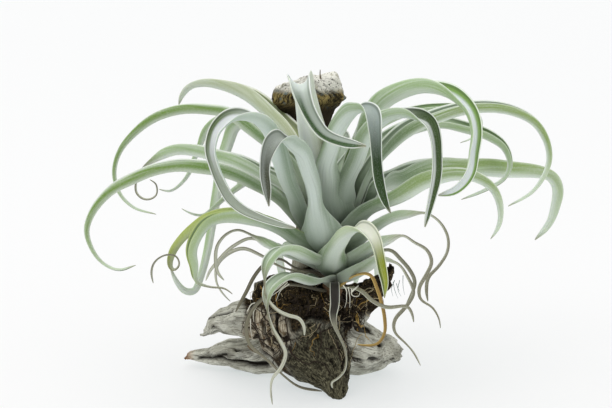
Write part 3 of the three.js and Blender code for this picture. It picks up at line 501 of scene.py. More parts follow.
YELLOW_COAT = new_skin(
    "yellowing scaled leaf", back="#ccd8cb", edge="#b3c39a", channel="#97a22a", channel_side="#e3e5d6",
    channel_left="#5a6b1f", split=(0.1, 0.5), rim="#e8ebd8", felt="#dfe7df", green_from=0.68,
)
OLIVE_COAT = new_skin(
    "yellow green scaled leaf", back="#b3c088", edge="#9fae50", channel="#8a9440", channel_side="#b4bf8a",
    rim="#d3d9a5", felt="#ccd5b0",
)
BROWN_COAT = new_skin(
    "drying leaf with a dark brown channel", back="#a3a495", edge="#8c8a74", channel="#1d1811",
    channel_side="#2e281e", rim="#d3d4c7", felt="#6b6555",
)
DRIED_COAT = new_skin(
    "dried leaf", back="#a9a597", edge="#8c8a74", channel="#6d6052", channel_side="#8f8578", rim="#c4bfb2",
    felt="#bdb8aa",
)
DARK_DRIED_COAT = new_skin(
    "dark dried leaf", back="#6f6b59", edge="#57533f", channel="#3f3a2c", channel_side="#5a5444",
    rim="#8b8773", felt="#7f7b68", dry="#5e5a49", dry_pale="#7d7965", dry_dark="#2f2b20",
)
GOLDEN_COAT = new_skin(
    "golden brown dried leaf", back="#b08a3e", edge="#8a6420", channel="#8a6420", channel_side="#a67a2e",
    rim="#c9a45c", felt="#c09a50", dry="#a08036", dry_pale="#c4a760", dry_dark="#75571f",
)

WIDTH_WANDER, WIDTH_WAVES = 0.05, 0.035
ROLL_WANDER, ROLL_WAVES = 0.1, 0.03
RIM_WANDER, RIM_WAVES = 0.5, 0.07
RIM_WIDTHS = (3, 12)


def apply_step(kind, name, **settings):
    """A step of work on the piece in hand: a modifier, applied at once."""
    piece = bpy.context.object
    step = piece.modifiers.new(name, kind)
    for setting, value in settings.items():
        setattr(step, setting, value)
    bpy.ops.object.modifier_apply(modifier=step.name)


def keep_marks(mesh, marks):
    """Keeps one number a vertex under each name, for the material to read."""
    for name, values in marks.items():
        mesh.attributes.new(name, "FLOAT", "POINT").data.foreach_set("value", values)


def grow_leaf(
    node, coat, sheath, blade, level, route, waist=None, bulb=SHEATH_AT, taper=TIP_POWER, facing=(),
    alive=1, twist=0,
):
    """One leaf: a flat grid rolled along its route, then given its thickness and its round rims."""
    sections = leaf_sections(sheath, waist or blade, blade, bulb, taper, level, facing, alive, twist, route)
    rows = len(sections) - 1
    seed = sum(map(ord, node))
    bpy.ops.mesh.primitive_grid_add(x_subdivisions=COLUMNS, y_subdivisions=rows, size=2)
    leaf = bpy.context.object
    leaf.name = node + "_scaled"
    leaf.data.name = leaf.name
    mesh = leaf.data
    flat = np.empty(len(mesh.vertices) * 3)
    mesh.vertices.foreach_get("co", flat)
    flat = flat.reshape(-1, 3)
    count = len(flat)
    thickness = leaf.vertex_groups.new(name="thickness")
    places, inwards = [], []
    lie, shares, dry, reach = np.zeros((count, 3)), np.zeros(count), np.zeros(count), np.zeros(count)
    for i, (x, y, _) in enumerate(flat):
        section = sections[round((y + 1) / 2 * rows)]
        mark = section["mark"]
        swell = 1 + WIDTH_WANDER * noise.noise(Vector((mark * WIDTH_WAVES, seed, 0)))
        angle = section["opening"] * (1 + ROLL_WANDER * noise.noise(Vector((mark * ROLL_WAVES, seed, 5)))) * x
        radius = section["width"] * swell / (2 * section["opening"])
        depth = section["depth"]
        inward = section["face"] * math.cos(angle) / depth - section["side"] * math.sin(angle) * depth
        inward.normalize()
        place = section["centre"] + section["side"] * radius / depth * math.sin(angle)
        sunk = section["lift"] * (1 - math.cos(section["opening"]))
        place += section["face"] * radius * depth * (1 - math.cos(angle) - sunk)
        wave = RIM_WANDER * x * x * noise.noise(Vector((mark * RIM_WAVES, seed + 3 * (x > 0), 9)))
        place += inward * wave * smooth(*RIM_WIDTHS, section["width"])
        places.append(place * MM)
        inwards.append(inward)
        body = blend(section["body"], min(RIM, section["body"]), x * x)
        thickness.add([i], body / LEAF_BODY, "REPLACE")
        lie[i] = (section["width"] / 2 * x * MM, mark * MM, 0)
        shares[i], dry[i], reach[i] = x, section["dryness"], mark / sections[-1]["mark"]
    mesh.vertices.foreach_set("co", np.array(places).ravel())
    mesh.attributes.new("lie", "FLOAT_VECTOR", "POINT").data.foreach_set("vector", lie.ravel())
    keep_marks(mesh, {"share": shares, "dryness": dry, "reach": reach})
    apply_step("SOLIDIFY", "wall", thickness=LEAF_BODY * MM, offset=0, vertex_group=thickness.name)
    keep_marks(mesh, {"inside": [
        float((vertex.co - places[i % count]).dot(inwards[i % count]) > 0)
        for i, vertex in enumerate(mesh.vertices)
    ]})
    apply_step("SUBSURF", "round rims", levels=1, render_levels=1)
    leaf.vertex_groups.clear()
    bpy.ops.object.shade_smooth()
    mesh.materials.append(coat)
    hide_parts(node)
    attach(leaf, "root")
    leaf.select_set(False)


grow_leaf(
    "leaf_front_round_sheath", LILAC_COAT, sheath=31, waist=11, blade=22, bulb=35, level=82,
    route=[(-8, -34, 90), (-9, -44, 97), (-11, -49, 106), (-13, -51, 115), (-14, -53, 123), (-15, -54, 133),
           (-18, -58, 145), (-22, -63, 157), (-28, -68, 163), (-33, -73, 167), (-38, -76, 164),
           (-41, -78, 157), (-42, -79, 148), (-41, -79, 138), (-40, -78, 128)],
    facing=[(0.55, (0, 0.6, 1)), (0.68, (-0.3, -0.3, 1)), (0.8, (-0.1, -1, 0.2)), (1, (-0.1, -1, 0))],
)
grow_leaf(
    "leaf_front_yellow_tip", YELLOW_COAT, sheath=26, waist=14, blade=17, level=68,
    route=[(-4, -42, 83), (-3, -51, 92), (1, -57, 101), (5, -63, 109), (9, -69, 114), (13, -73, 115),
           (17, -77, 113), (20, -80, 109), (22, -81, 102), (24, -82, 93), (26, -82, 84), (26, -81, 75)],
    facing=[(0.35, (0, 0.6, 1)), (0.55, (0.2, -0.3, 1)), (0.7, (0.25, -1, 0.3)), (1, (0.1, -1, 0))],
)
grow_leaf(
    "leaf_low_front_curl", PALE_COAT, sheath=21, blade=17, level=72, alive=0.6, twist=150,
    route=[(-11, -38, 84), (-18, -47, 88), (-23, -55, 93), (-29, -61, 98), (-35, -65, 99), (-39, -68, 96),
           (-42, -70, 91), (-43, -71, 82), (-42, -70, 73), (-36, -70, 65), (-29, -69, 61), (-23, -68, 59),
           (-20, -67, 53), (-20, -66, 48)],
)
grow_leaf(
    "leaf_low_front_long", PALE_COAT, sheath=19, blade=16, level=65, alive=0.5, twist=240,
    route=[(-9, -38, 74), (-16, -46, 74), (-23, -54, 78), (-29, -60, 82), (-35, -64, 81), (-40, -67, 77),
           (-42, -69, 69), (-39, -69, 55), (-34, -68, 45), (-31, -68, 38), (-34, -66, 28), (-39, -64, 21),
           (-40, -62, 12), (-39, -60, 3)],
)
grow_leaf(
    "leaf_low_centre_dry", BROWN_COAT, sheath=6, blade=6.5, level=62, alive=0.52, twist=180,
    route=[(-2, -40, 72), (-2, -50, 74), (-2, -55, 70), (-2, -57, 64), (-3, -58, 59), (-2, -58, 52),
           (1, -58, 45), (4, -58, 38), (5, -57, 30), (4, -56, 23), (-1, -55, 17), (-4, -54, 15),
           (-3, -53, 11)],
)
grow_leaf(
    "leaf_low_right_dry", PALE_COAT, sheath=22, blade=14, level=67, alive=0.38, twist=220,
    route=[(9, -38, 75), (18, -44, 82), (27, -48, 89), (36, -50, 87), (41, -51, 80), (45, -51, 70),
           (41, -51, 62), (34, -51, 53), (34, -51, 46), (41, -50, 38), (46, -50, 32), (50, -50, 24)],
)
grow_leaf(
    "leaf_low_left_dry", PALE_COAT, sheath=24, blade=16, level=73, alive=0.5, twist=90,
    route=[(-21, -24, 82), (-32, -31, 88), (-42, -36, 95), (-51, -39, 102), (-60, -41, 106),
           (-67, -42, 103), (-72, -42, 96), (-73, -42, 87), (-72, -42, 80), (-68, -42, 75)],
)
grow_leaf(
    "leaf_right_brown_curl", PALE_COAT, sheath=22, blade=15, level=72, alive=0.42, twist=200,
    route=[(10, -36, 84), (19, -43, 92), (29, -48, 100), (38, -51, 105), (45, -53, 101), (52, -54, 97),
           (55, -55, 90), (52, -55, 82), (48, -55, 74), (49, -55, 67), (56, -55, 62), (60, -55, 55),
           (61, -55, 49)],
)
grow_leaf(
    "leaf_right_short_dry", PALE_COAT, sheath=24, blade=15, level=79, alive=0.48, twist=120,
    route=[(14, -30, 95), (23, -35, 104), (33, -39, 112), (43, -42, 116), (52, -44, 117), (60, -45, 112),
           (65, -46, 103), (65, -46, 94), (60, -46, 85), (54, -46, 78), (53, -46, 70), (54, -46, 63)],
)
grow_leaf(
    "leaf_left_front_arch", LIME_COAT, sheath=32, blade=20, level=78, alive=0.86,
    route=[(-19, -30, 91), (-28, -37, 98), (-37, -43, 106), (-47, -48, 113), (-58, -53, 117),
           (-68, -58, 118), (-76, -62, 115), (-81, -65, 108), (-84, -66, 99), (-83, -66, 90),
           (-83, -65, 81), (-75, -64, 77), (-67, -63, 76), (-62, -62, 72)],
)
grow_leaf(
    "leaf_right_front_arch", SILVER_COAT, sheath=29, blade=24, level=81,
    route=[(17, -27, 110), (25, -32, 117), (33, -37, 123), (41, -42, 130), (51, -46, 137), (61, -49, 140),
           (71, -52, 141), (81, -54, 139), (89, -56, 134), (93, -57, 126), (94, -57, 116), (92, -57, 109),
           (89, -57, 104)],
)
grow_leaf(
    "leaf_right_centre_fold", DEEP_COAT, sheath=36, waist=24, blade=23, level=87,
    route=[(-4, -27, 109), (-7, -33, 124), (-7, -40, 136), (-7, -46, 147), (-4, -52, 158), (-1, -57, 168),
           (4, -62, 177), (9, -67, 182), (15, -72, 183), (18, -77, 179), (19, -80, 172), (20, -82, 161),
           (21, -83, 150), (23, -83, 140), (26, -83, 131), (29, -82, 125)],
    facing=[(0.5, (0, 0.6, 1)), (0.64, (0.3, -0.2, 1)), (0.74, (0.1, -1, 0.2)), (1, (0, -1, 0.1))],
)
grow_leaf(
    "leaf_left_big_arch", ARCH_COAT, sheath=28, waist=19, blade=23, taper=1.1, level=84,
    route=[(-25, -26, 110), (-27, -33, 119), (-29, -40, 130), (-32, -47, 142), (-35, -53, 153),
           (-38, -58, 164), (-42, -62, 172), (-47, -66, 177), (-53, -69, 179), (-59, -71, 179),
           (-64, -73, 177), (-69, -75, 172), (-71, -77, 167), (-72, -78, 160), (-70, -79, 152),
           (-67, -80, 144), (-62, -80, 134), (-55, -79, 127), (-46, -77, 122), (-34, -74, 117),
           (-25, -71, 114)],
    facing=[(0.3, (0, 0.6, 1)), (0.5, (-0.2, 0, 1)), (0.64, (-0.5, -1, 0.1)), (1, (0, -1, 0))],
)
grow_leaf(
    "leaf_right_inner_arch", GREY_GREEN_COAT,
    sheath=33, waist=22, blade=22, taper=1.3, level=88,
    route=[(7, -21, 111), (7, -29, 128), (11, -38, 147), (17, -47, 165), (27, -54, 176), (36, -60, 179),
           (44, -65, 178), (51, -69, 175), (54, -72, 167), (55, -74, 157), (55, -75, 146), (53, -75, 134),
           (51, -75, 125), (49, -74, 115)],
    facing=[(0.4, (0, 0.6, 1)), (0.58, (0.2, 0, 1)), (0.7, (0.1, -1, 0.2)), (1, (0, -1, 0.1))],
)
grow_leaf(
    "leaf_left_long", FRESH_COAT, sheath=28, waist=19, blade=19, level=83,
    route=[(-30, -20, 111), (-38, -24, 121), (-48, -27, 130), (-59, -30, 137), (-70, -32, 141),
           (-82, -34, 143), (-95, -35, 144), (-109, -36, 141), (-122, -37, 135), (-135, -39, 128),
           (-145, -41, 117), (-149, -43, 106), (-146, -45, 95), (-140, -46, 87), (-131, -47, 83),
           (-120, -48, 86)],
)
grow_leaf(
    "leaf_right_long", SILVER_COAT, sheath=30, blade=35, level=86,
    route=[(21, 0, 113), (27, 8, 120), (35, 16, 123), (48, 24, 128), (66, 33, 129), (89, 43, 128),
           (112, 51, 123), (133, 56, 121), (142, 58, 118), (146, 58, 111), (145, 57, 100), (142, 56, 89),
           (133, 54, 77)],
)
grow_leaf(
    "leaf_top_fold", FOLD_COAT, sheath=28, waist=29, blade=33, taper=1.5, level=96,
    route=[(-13, -22, 117), (-14, -32, 134), (-15, -42, 154), (-18, -51, 172), (-20, -58, 186),
           (-21, -64, 194), (-22, -71, 199), (-23, -79, 197), (-23, -86, 195), (-20, -92, 187),
           (-16, -97, 180), (-10, -100, 173), (0, -102, 169), (14, -102, 167)],
    facing=[(0.4, (0, 0.6, 1)), (0.63, (-0.15, 0, 1)), (0.73, (0.2, -0.8, 0.6)), (1, (0.2, -0.9, 0.4))],
)
grow_leaf(
    "leaf_right_top_arch", BRIGHT_COAT, sheath=30, waist=25, blade=36, taper=0.8, level=93,
    route=[(8, -12, 121), (11, -18, 143), (17, -26, 166), (26, -33, 182), (37, -39, 189), (48, -45, 192),
           (58, -51, 191), (67, -57, 187), (74, -62, 180), (77, -66, 169), (76, -68, 158), (74, -69, 145),
           (67, -68, 136), (57, -66, 132)],
    facing=[(0.3, (0, 0.5, 1)), (0.55, (0.1, 0.3, 1)), (0.72, (0.6, -0.8, 0.2)), (1, (0.2, -1, 0))],
)
grow_leaf(
    "leaf_left_top_arch", FRESH_COAT, sheath=28, waist=18, blade=18, taper=1.5, level=92,
    route=[(-21, -9, 122), (-27, -6, 138), (-36, -3, 148), (-44, -1, 154), (-55, 2, 162), (-67, 4, 170),
           (-81, 6, 172), (-96, 8, 171), (-111, 8, 166), (-123, 7, 158), (-134, 5, 146), (-138, 3, 133),
           (-135, 1, 120), (-126, -1, 111), (-112, -3, 107)],
)
grow_leaf(
    "leaf_right_wide_arch", SILVER_COAT, sheath=29, waist=19, blade=23, taper=1.3, level=90,
    route=[(13, -8, 115), (20, -7, 132), (29, -6, 148), (42, -4, 160), (57, -2, 167), (74, 0, 172),
           (92, 2, 173), (108, 4, 170), (122, 5, 163), (130, 6, 151), (132, 6, 140), (129, 5, 130),
           (122, 4, 120), (107, 2, 111)],
)
grow_leaf(
    "leaf_right_back_arch", PALE_COAT, sheath=27, blade=20, level=89,
    route=[(12, 4, 117), (19, 10, 135), (30, 16, 149), (47, 22, 157), (66, 27, 160), (83, 31, 155),
           (98, 34, 149), (108, 36, 142), (112, 36, 132), (109, 35, 123), (98, 34, 116), (81, 32, 109)],
)
grow_leaf(
    "leaf_left_thin_curl", PALE_COAT, sheath=26, blade=21, level=85, alive=0.73,
    route=[(-25, -4, 114), (-35, 4, 124), (-46, 12, 130), (-60, 20, 135), (-74, 28, 138), (-88, 35, 140),
           (-103, 41, 139), (-116, 45, 133), (-125, 47, 127), (-130, 48, 118), (-130, 48, 110),
           (-124, 47, 106), (-117, 46, 109), (-117, 45, 117), (-121, 44, 120)],
)
grow_leaf(
    "leaf_back_left_top", AGED_COAT, sheath=26, blade=28, level=97,
    route=[(-17, -2, 126), (-21, 10, 144), (-28, 22, 155), (-37, 32, 163), (-47, 42, 169), (-59, 52, 174),
           (-73, 61, 178), (-86, 69, 179), (-96, 74, 176), (-102, 77, 169), (-104, 78, 164)],
)
grow_leaf(
    "leaf_back_left_drop", PALE_COAT, sheath=22, blade=14, level=94,
    route=[(-18, 6, 130), (-27, 20, 144), (-41, 34, 155), (-57, 46, 161), (-73, 56, 159), (-84, 63, 150),
           (-89, 66, 138), (-93, 67, 129), (-97, 67, 119), (-104, 66, 111), (-110, 64, 108),
           (-117, 62, 110)],
)
grow_leaf(
    "leaf_back_left_wide", PALE_COAT, sheath=26, blade=18, level=91,
    route=[(-23, 4, 121), (-32, 20, 139), (-43, 36, 151), (-55, 50, 158), (-65, 59, 153), (-70, 64, 141),
           (-74, 66, 126), (-77, 66, 109), (-81, 62, 85), (-84, 57, 69), (-88, 51, 54), (-93, 46, 44),
           (-99, 43, 45), (-104, 40, 52), (-108, 38, 62)],
)
grow_leaf(
    "leaf_back_left_small", PALE_COAT, sheath=18, blade=11, level=80,
    route=[(-25, 6, 105), (-35, 16, 115), (-46, 25, 121), (-56, 32, 121), (-64, 37, 115), (-72, 39, 108),
           (-80, 40, 101), (-86, 40, 97), (-93, 39, 98), (-100, 38, 102)],
)
grow_leaf(
    "leaf_left_yellow", OLIVE_COAT, sheath=22, blade=14, level=76, alive=0.74, twist=60,
    route=[(-26, -14, 91), (-38, -4, 99), (-52, 7, 104), (-66, 17, 104), (-81, 24, 99), (-91, 28, 91),
           (-99, 30, 83), (-105, 30, 74), (-107, 29, 66), (-105, 28, 63), (-101, 27, 67), (-103, 26, 73),
           (-110, 25, 74), (-117, 25, 69), (-119, 25, 62), (-118, 25, 55)],
)
grow_leaf(
    "leaf_back_right_tip", PALE_COAT, sheath=20, blade=13, level=95,
    route=[(2, 4, 125), (13, 22, 143), (29, 40, 157), (49, 54, 163), (69, 66, 164), (88, 75, 162),
           (98, 78, 155), (98, 78, 148), (92, 76, 142), (84, 74, 139)],
)
grow_leaf(
    "leaf_rear_right", SILVER_COAT, sheath=24, blade=15, level=82,
    route=[(3, 2, 94), (8, 18, 101), (12, 38, 102), (15, 60, 95), (17, 78, 80), (18, 90, 62), (17, 95, 44),
           (14, 94, 30)],
)
grow_leaf(
    "leaf_rear_centre", SILVER_COAT, sheath=22, blade=14, level=74,
    route=[(2, 4, 84), (5, 22, 86), (5, 46, 82), (2, 66, 72), (-3, 82, 57), (-9, 92, 41), (-13, 96, 27)],
)
grow_leaf(
    "leaf_rear_upright", SILVER_COAT, sheath=22, blade=15, level=100,
    route=[(2, 4, 112), (5, 20, 130), (6, 36, 141), (6, 52, 146), (5, 68, 144), (4, 83, 134), (3, 95, 118),
           (2, 101, 100), (1, 103, 84)],
)
grow_leaf(
    "leaf_rear_left", SILVER_COAT, sheath=22, blade=14, level=96,
    route=[(-14, 4, 108), (-24, 16, 116), (-32, 32, 121), (-31, 52, 123), (-25, 72, 116), (-20, 86, 100),
           (-18, 95, 82), (-17, 97, 64)],
)
grow_leaf(
    "leaf_rear_low_right", PALE_COAT, sheath=20, blade=13, level=66,
    route=[(6, -2, 72), (14, 14, 76), (22, 32, 74), (27, 52, 65), (30, 70, 51), (30, 84, 36), (28, 92, 23)],
)
grow_leaf(
    "leaf_rear_low_left", PALE_COAT, sheath=20, blade=12, level=70,
    route=[(-12, 4, 74), (-24, 14, 78), (-33, 28, 79), (-37, 46, 74), (-37, 64, 62), (-35, 78, 46),
           (-32, 87, 30), (-30, 91, 16)],
)
grow_leaf(
    "leaf_rear_wide_right", SILVER_COAT, sheath=24, blade=15, level=92,
    route=[(9, 2, 108), (18, 18, 119), (26, 34, 122), (31, 50, 119), (34, 65, 109), (35, 77, 95)],
)
grow_leaf(
    "leaf_rear_wide_left", SILVER_COAT, sheath=24, blade=14, level=86,
    route=[(-16, 4, 106), (-26, 17, 118), (-38, 31, 126), (-50, 47, 127), (-60, 62, 119), (-66, 73, 108)],
)
grow_leaf(
    "ribbon_right_behind", DRIED_COAT, sheath=9, blade=6, level=75, alive=0.1, twist=120,
    route=[(13, -26, 79), (22, -29, 88), (32, -31, 91), (38, -33, 86), (44, -34, 79), (47, -34, 72),
           (45, -34, 64), (42, -33, 58)],
)
grow_leaf(
    "ribbon_left_dark", DARK_DRIED_COAT, sheath=9, blade=6, level=72, alive=0.1, twist=90,
    route=[(-26, -16, 76), (-34, -15, 81), (-41, -13, 80), (-47, -12, 75), (-52, -12, 68), (-56, -13, 60),
           (-60, -14, 53), (-63, -14, 47)],
)
grow_leaf(
    "ribbon_left_grey", DRIED_COAT, sheath=9, blade=6, level=74, alive=0.1, twist=100,
    route=[(-31, -20, 85), (-42, -21, 92), (-53, -21, 96), (-62, -21, 92), (-68, -20, 87), (-74, -19, 80),
           (-78, -18, 75), (-81, -17, 68)],
)
grow_leaf(
    "ribbon_left_hook", DRIED_COAT, sheath=8, blade=5, level=70, alive=0.1, twist=160,
    route=[(-34, -4, 73), (-47, 2, 79), (-59, 6, 83), (-70, 8, 78), (-76, 9, 70), (-76, 9, 60),
           (-72, 8, 53), (-67, 7, 48)],
)
grow_leaf(
    "ribbon_floor", DARK_DRIED_COAT, sheath=8, blade=5, level=62, alive=0.1, twist=260,
    route=[(-32, -36, 70), (-43, -42, 65), (-51, -45, 58), (-55, -47, 48), (-53, -48, 37), (-47, -48, 31),
           (-41, -49, 26), (-32, -49, 17), (-23, -48, 10), (-9, -47, 7)],
)
grow_leaf(
    "ribbon_right_pale", DRIED_COAT, sheath=6, blade=4, level=65, alive=0.1, twist=60,
    route=[(14, -48, 70), (21, -53, 65), (29, -55, 62), (37, -56, 63), (41, -56, 63), (44, -56, 58),
           (45, -56, 53)],
)
grow_leaf(
    "ribbon_right_orange", GOLDEN_COAT, sheath=6, blade=4, level=63, alive=0.1, twist=90,
    route=[(12, -48, 80), (19, -52, 81), (23, -53, 73), (26, -53, 64), (28, -51, 53), (28, -49, 44),
           (24, -47, 37), (17, -44, 35), (12, -42, 35)],
)

# The short stem that all the leaves grow from: a fibrous brown core under the scars of old leaf feet.
# Only slits of it show between the sheaths and the wood, so it is one ringed, ragged body.
STEM_RINGS = 12
STEM_LENGTH = 47
RING_DEPTH = 0.7
STEM_VOXEL = 0.7


def fibre_material(name, light, dark, spacing):
    """Dry plant fibre: rough, dull, streaked along its run."""
    material, tree = new_material(name)
    place = add_node(tree, "ShaderNodeTexCoord").outputs["Object"]
    streaks = speckle(tree, stretched(tree, place, spacing, spacing, 5 * spacing), 1.0, 4.0)
    coat_matter(tree, {
        "Base Color": mix_colours(tree, streaks, dark, light), "Roughness": 0.9, "Specular IOR Level": 0.2,
        "Normal": relief(tree, streaks, 0.4 * MM, 0.6),
    })
    return material


stem_axis = (STEM_TOP - STEM_BOTTOM).normalized()
bpy.ops.mesh.primitive_cylinder_add(
    vertices=48, radius=STEM_RADIUS * MM, depth=STEM_LENGTH * MM, location=(0, 0, 0),
)
stem = bpy.context.object
stem.name = "fibrous_stem"
bpy.ops.object.mode_set(mode="EDIT")
bpy.ops.mesh.subdivide(number_cuts=3)
bpy.ops.object.mode_set(mode="OBJECT")
apply_step("REMESH", "close rows", mode="VOXEL", voxel_size=STEM_VOXEL * MM)
lean_turn = Vector((0, 0, 1)).rotation_difference(stem_axis)
stem_middle = STEM_BOTTOM + stem_axis * (STEM_LENGTH / 2 - 1)
for vertex in stem.data.vertices:
    point = vertex.co / MM
    height = (point.z + STEM_LENGTH / 2) / STEM_LENGTH
    turn = math.atan2(point.y, point.x)
    rings = math.sin(height * STEM_RINGS * 2 * math.pi + turn * 2)
    narrowing = 1 - 0.55 * smooth(0.75, 1.0, height) - 0.2 * smooth(0.15, 0, height)
    fray = noise.noise(Vector((turn * 3, height * 9, 4)))
    girth = narrowing * (1 - RING_DEPTH / STEM_RADIUS * (0.5 + 0.5 * rings)) + 0.05 * fray
    vertex.co = (lean_turn @ Vector((point.x * girth, point.y * girth, point.z)) + stem_middle) * MM
bpy.ops.object.shade_smooth()
stem.data.materials.append(fibre_material("fibrous stem scar tissue", "#7a6047", "#3a2c20", 1.2 * MM))
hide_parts("plant_stem")
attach(stem, "root")
stem.select_set(False)

# The driftwood: a broken, wave-worn root with limbs, weathered silver grey where the air reaches it.
# Its thick middle is rotted to a dark fibrous mass; the plant is only rooted to it, with nothing holding it.
# The grain runs along each limb, which has its middle line and its half widths here.
LIMBS = {
    "mass": [(-12, 0, 64, 17), (-14, -2, 57, 26), (-19, -5, 44, 32), (-19, -9, 33, 29), (-13, -16, 23, 22),
             (-7, -25, 15, 14), (-1, -34, 7, 8), (0, -39, 1, 5), (0, -41, -4, 3)],
    "long left": [(-24, 2, 24, 18), (-42, 8, 14, 15), (-58, 12, 10.5, 12), (-68, 14, 11.5, 10),
                  (-76, 16, 10, 8), (-81, 18, 8.5, 6), (-92, 21, 8.3, 5), (-98, 22, 5.5, 2)],
    "upper left": [(-34, -3, 41, 14), (-52, -4, 40, 12), (-62, -4, 40, 11), (-68, -4, 39, 9),
                   (-74, -4, 38.5, 8), (-79, -3, 33, 5), (-85, -2, 28.5, 2)],
    "right": [(0, 0, 24, 19), (14, 7, 18, 18), (26, 12, 14.5, 14), (34, 13, 13.5, 10), (39, 13, 12, 7),
              (42, 12, 11.5, 4)],
    "knob": [(6, 0, 46, 14), (18, 2, 52, 12), (27, 4, 59, 8), (33, 5, 66, 5), (35.5, 6, 72, 3)],
    "stub": [(-12, 12, 34, 21), (-12, 24, 70, 13), (-13, 33, 115, 11), (-15, 38, 150, 10), (-16, 40, 162, 11),
             (-17, 41, 171, 15), (-17, 39.5, 177, 17), (-16.5, 38.8, 182, 16), (-17.5, 38.3, 186.5, 13)],
    "rear foot": [(-14, 12, 32, 20), (-14, 32, 18, 15), (-12, 48, 7, 8), (-12, 54, -4, 6)],
}
WOOD_VOXEL = 1.0
WEAR_ROUNDS = 10
WANDER, WANDER_SIZE = 1.6, 16
RIDGE_WIDTH, RIDGE_RUN, RIDGE_DEPTH = 3.2, 40, 0.55
SPLIT_WIDTH, SPLIT_RUN, SPLIT_DEPTH = 3.4, 60, 2.0
FLAKE_WIDTH, FLAKE_RUN, FLAKE_DEPTH = 2.0, 12, 1.3
LUMP_SIZE, LUMP_DEPTHS = 6, (0.35, 1.2)
PIT_SIZE, PIT_DEPTH = 9, 4.2
ROT_MIDDLE, ROT_SIZE = (-16, -12, 56), (44, 36, 21)
KNOB_MIDDLE, KNOB_SIZE = (24, 2, 58), (19, 18, 18)
BARK_MIDDLE, BARK_SIZE = (-43, -18, 36), (18, 20, 15)
PROW_MIDDLE, PROW_SIZE = (-6, -34, 18), (26, 24, 27)
END_RUN, TOOTH_DEPTH, TOOTH_SIZE = 9, 2.4, (3.5, 2.2, 2.6)
FRONT_FACE, FRONT_FADE = -8, 6
STUB_FROM, STUB_FADE = 60, 20
ZONE_WAVES = 11
# The long drying crack in the left limb, and the bite between the right limb's two points: places and half
# widths.
LONG_CRACK = [(-88, 14, 8, 1.0), (-82, 11, 10, 2.0), (-75, 8, 11, 1.2), (-68, 4, 10, 0.9), (-59, 0, 10, 1.3),
              (-53, -4, 9, 2.0), (-45, -8, 10, 2.4)]
CRACK_DEPTH = 3.0
RIGHT_BITE, BITE_SIZE, BITE_DEPTH = (37, 10, 14), 4.5, 4.0

cad_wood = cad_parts["driftwood"]
wood = bpy.data.objects.new("weathered_driftwood", cad_wood.data.copy())
wood.data.name = wood.name
bpy.context.collection.objects.link(wood)
wood.data.materials.clear()
bpy.context.view_layer.objects.active = wood
wood.select_set(True)
bpy.ops.object.mode_set(mode="EDIT")
bpy.ops.mesh.select_all(action="SELECT")
bpy.ops.mesh.remove_doubles(threshold=0.02 * MM)
bpy.ops.object.mode_set(mode="OBJECT")
apply_step("REMESH", "one skin", mode="VOXEL", voxel_size=WOOD_VOXEL * MM)
apply_step("SMOOTH", "worn round", factor=0.5, iterations=WEAR_ROUNDS)

count = len(wood.data.vertices)
points = np.empty(count * 3)
wood.data.vertices.foreach_get("co", points)
points = points.reshape(-1, 3) / MM
normals = np.empty(count * 3)
wood.data.vertices.foreach_get("normal", normals)
normals = normals.reshape(-1, 3)


def widths_along(stations, points_along):
    """The last number of each station, spread evenly over a line's points."""
    shares = np.linspace(0, len(stations) - 1, points_along)
    return np.interp(shares, range(len(stations)), [station[-1] for station in stations])


nearest = np.full(count, np.inf)
grain = np.zeros((count, 3))
limb_index = np.zeros(count, int)
to_end = np.zeros(count)
limb_names = list(LIMBS)
for index, name in enumerate(limb_names):
    stations = LIMBS[name]
    line = smooth_path([Vector(s[:3]) for s in stations], 8)
    spans = np.array([(b - a).length for a, b in zip(line, line[1:])])
    marks = np.concatenate([[0], np.cumsum(spans)])
    line = np.array(line)
    widths = widths_along(stations, len(line))
    away = np.linalg.norm(points[:, None, :] - line[None, :, :], axis=2)
    close = away.argmin(axis=1)
    depth = away[np.arange(count), close] / widths[close]
    tangents = np.gradient(line, axis=0)
    tangents /= np.linalg.norm(tangents, axis=1)[:, None]
    across = np.cross(tangents, (0.31, 0.2, 0.93))
    across /= np.linalg.norm(across, axis=1)[:, None]
    other = np.cross(tangents, across)
    offset = points - line[close]
    run = marks[close] + (offset * tangents[close]).sum(axis=1)
    turn = np.arctan2((offset * other[close]).sum(axis=1), (offset * across[close]).sum(axis=1))
    girth = widths[close] * 0.75 + 3
    coords = np.stack([np.cos(turn) * girth, np.sin(turn) * girth, run + 100 * index], axis=1)
    closer_here = depth < nearest
    nearest = np.where(closer_here, depth, nearest)
    grain[closer_here] = coords[closer_here]
    limb_index[closer_here] = index
    to_end[closer_here] = (marks[-1] - run)[closer_here]


def on_limb(*names):
    """True where the wood belongs to one of these limbs."""
    return np.isin(limb_index, [limb_names.index(name) for name in names])


def zone(middle, size):
    """1 inside an egg-shaped part of the wood, fading to 0 outside it, with a wavy border."""
    away = np.linalg.norm((points - np.array(middle)) / np.array(size), axis=1)
    waves = np.array([noise.noise(Vector(p) / ZONE_WAVES) for p in points])
    return np.clip((1.12 - away - 0.3 * waves) / 0.24, 0, 1)


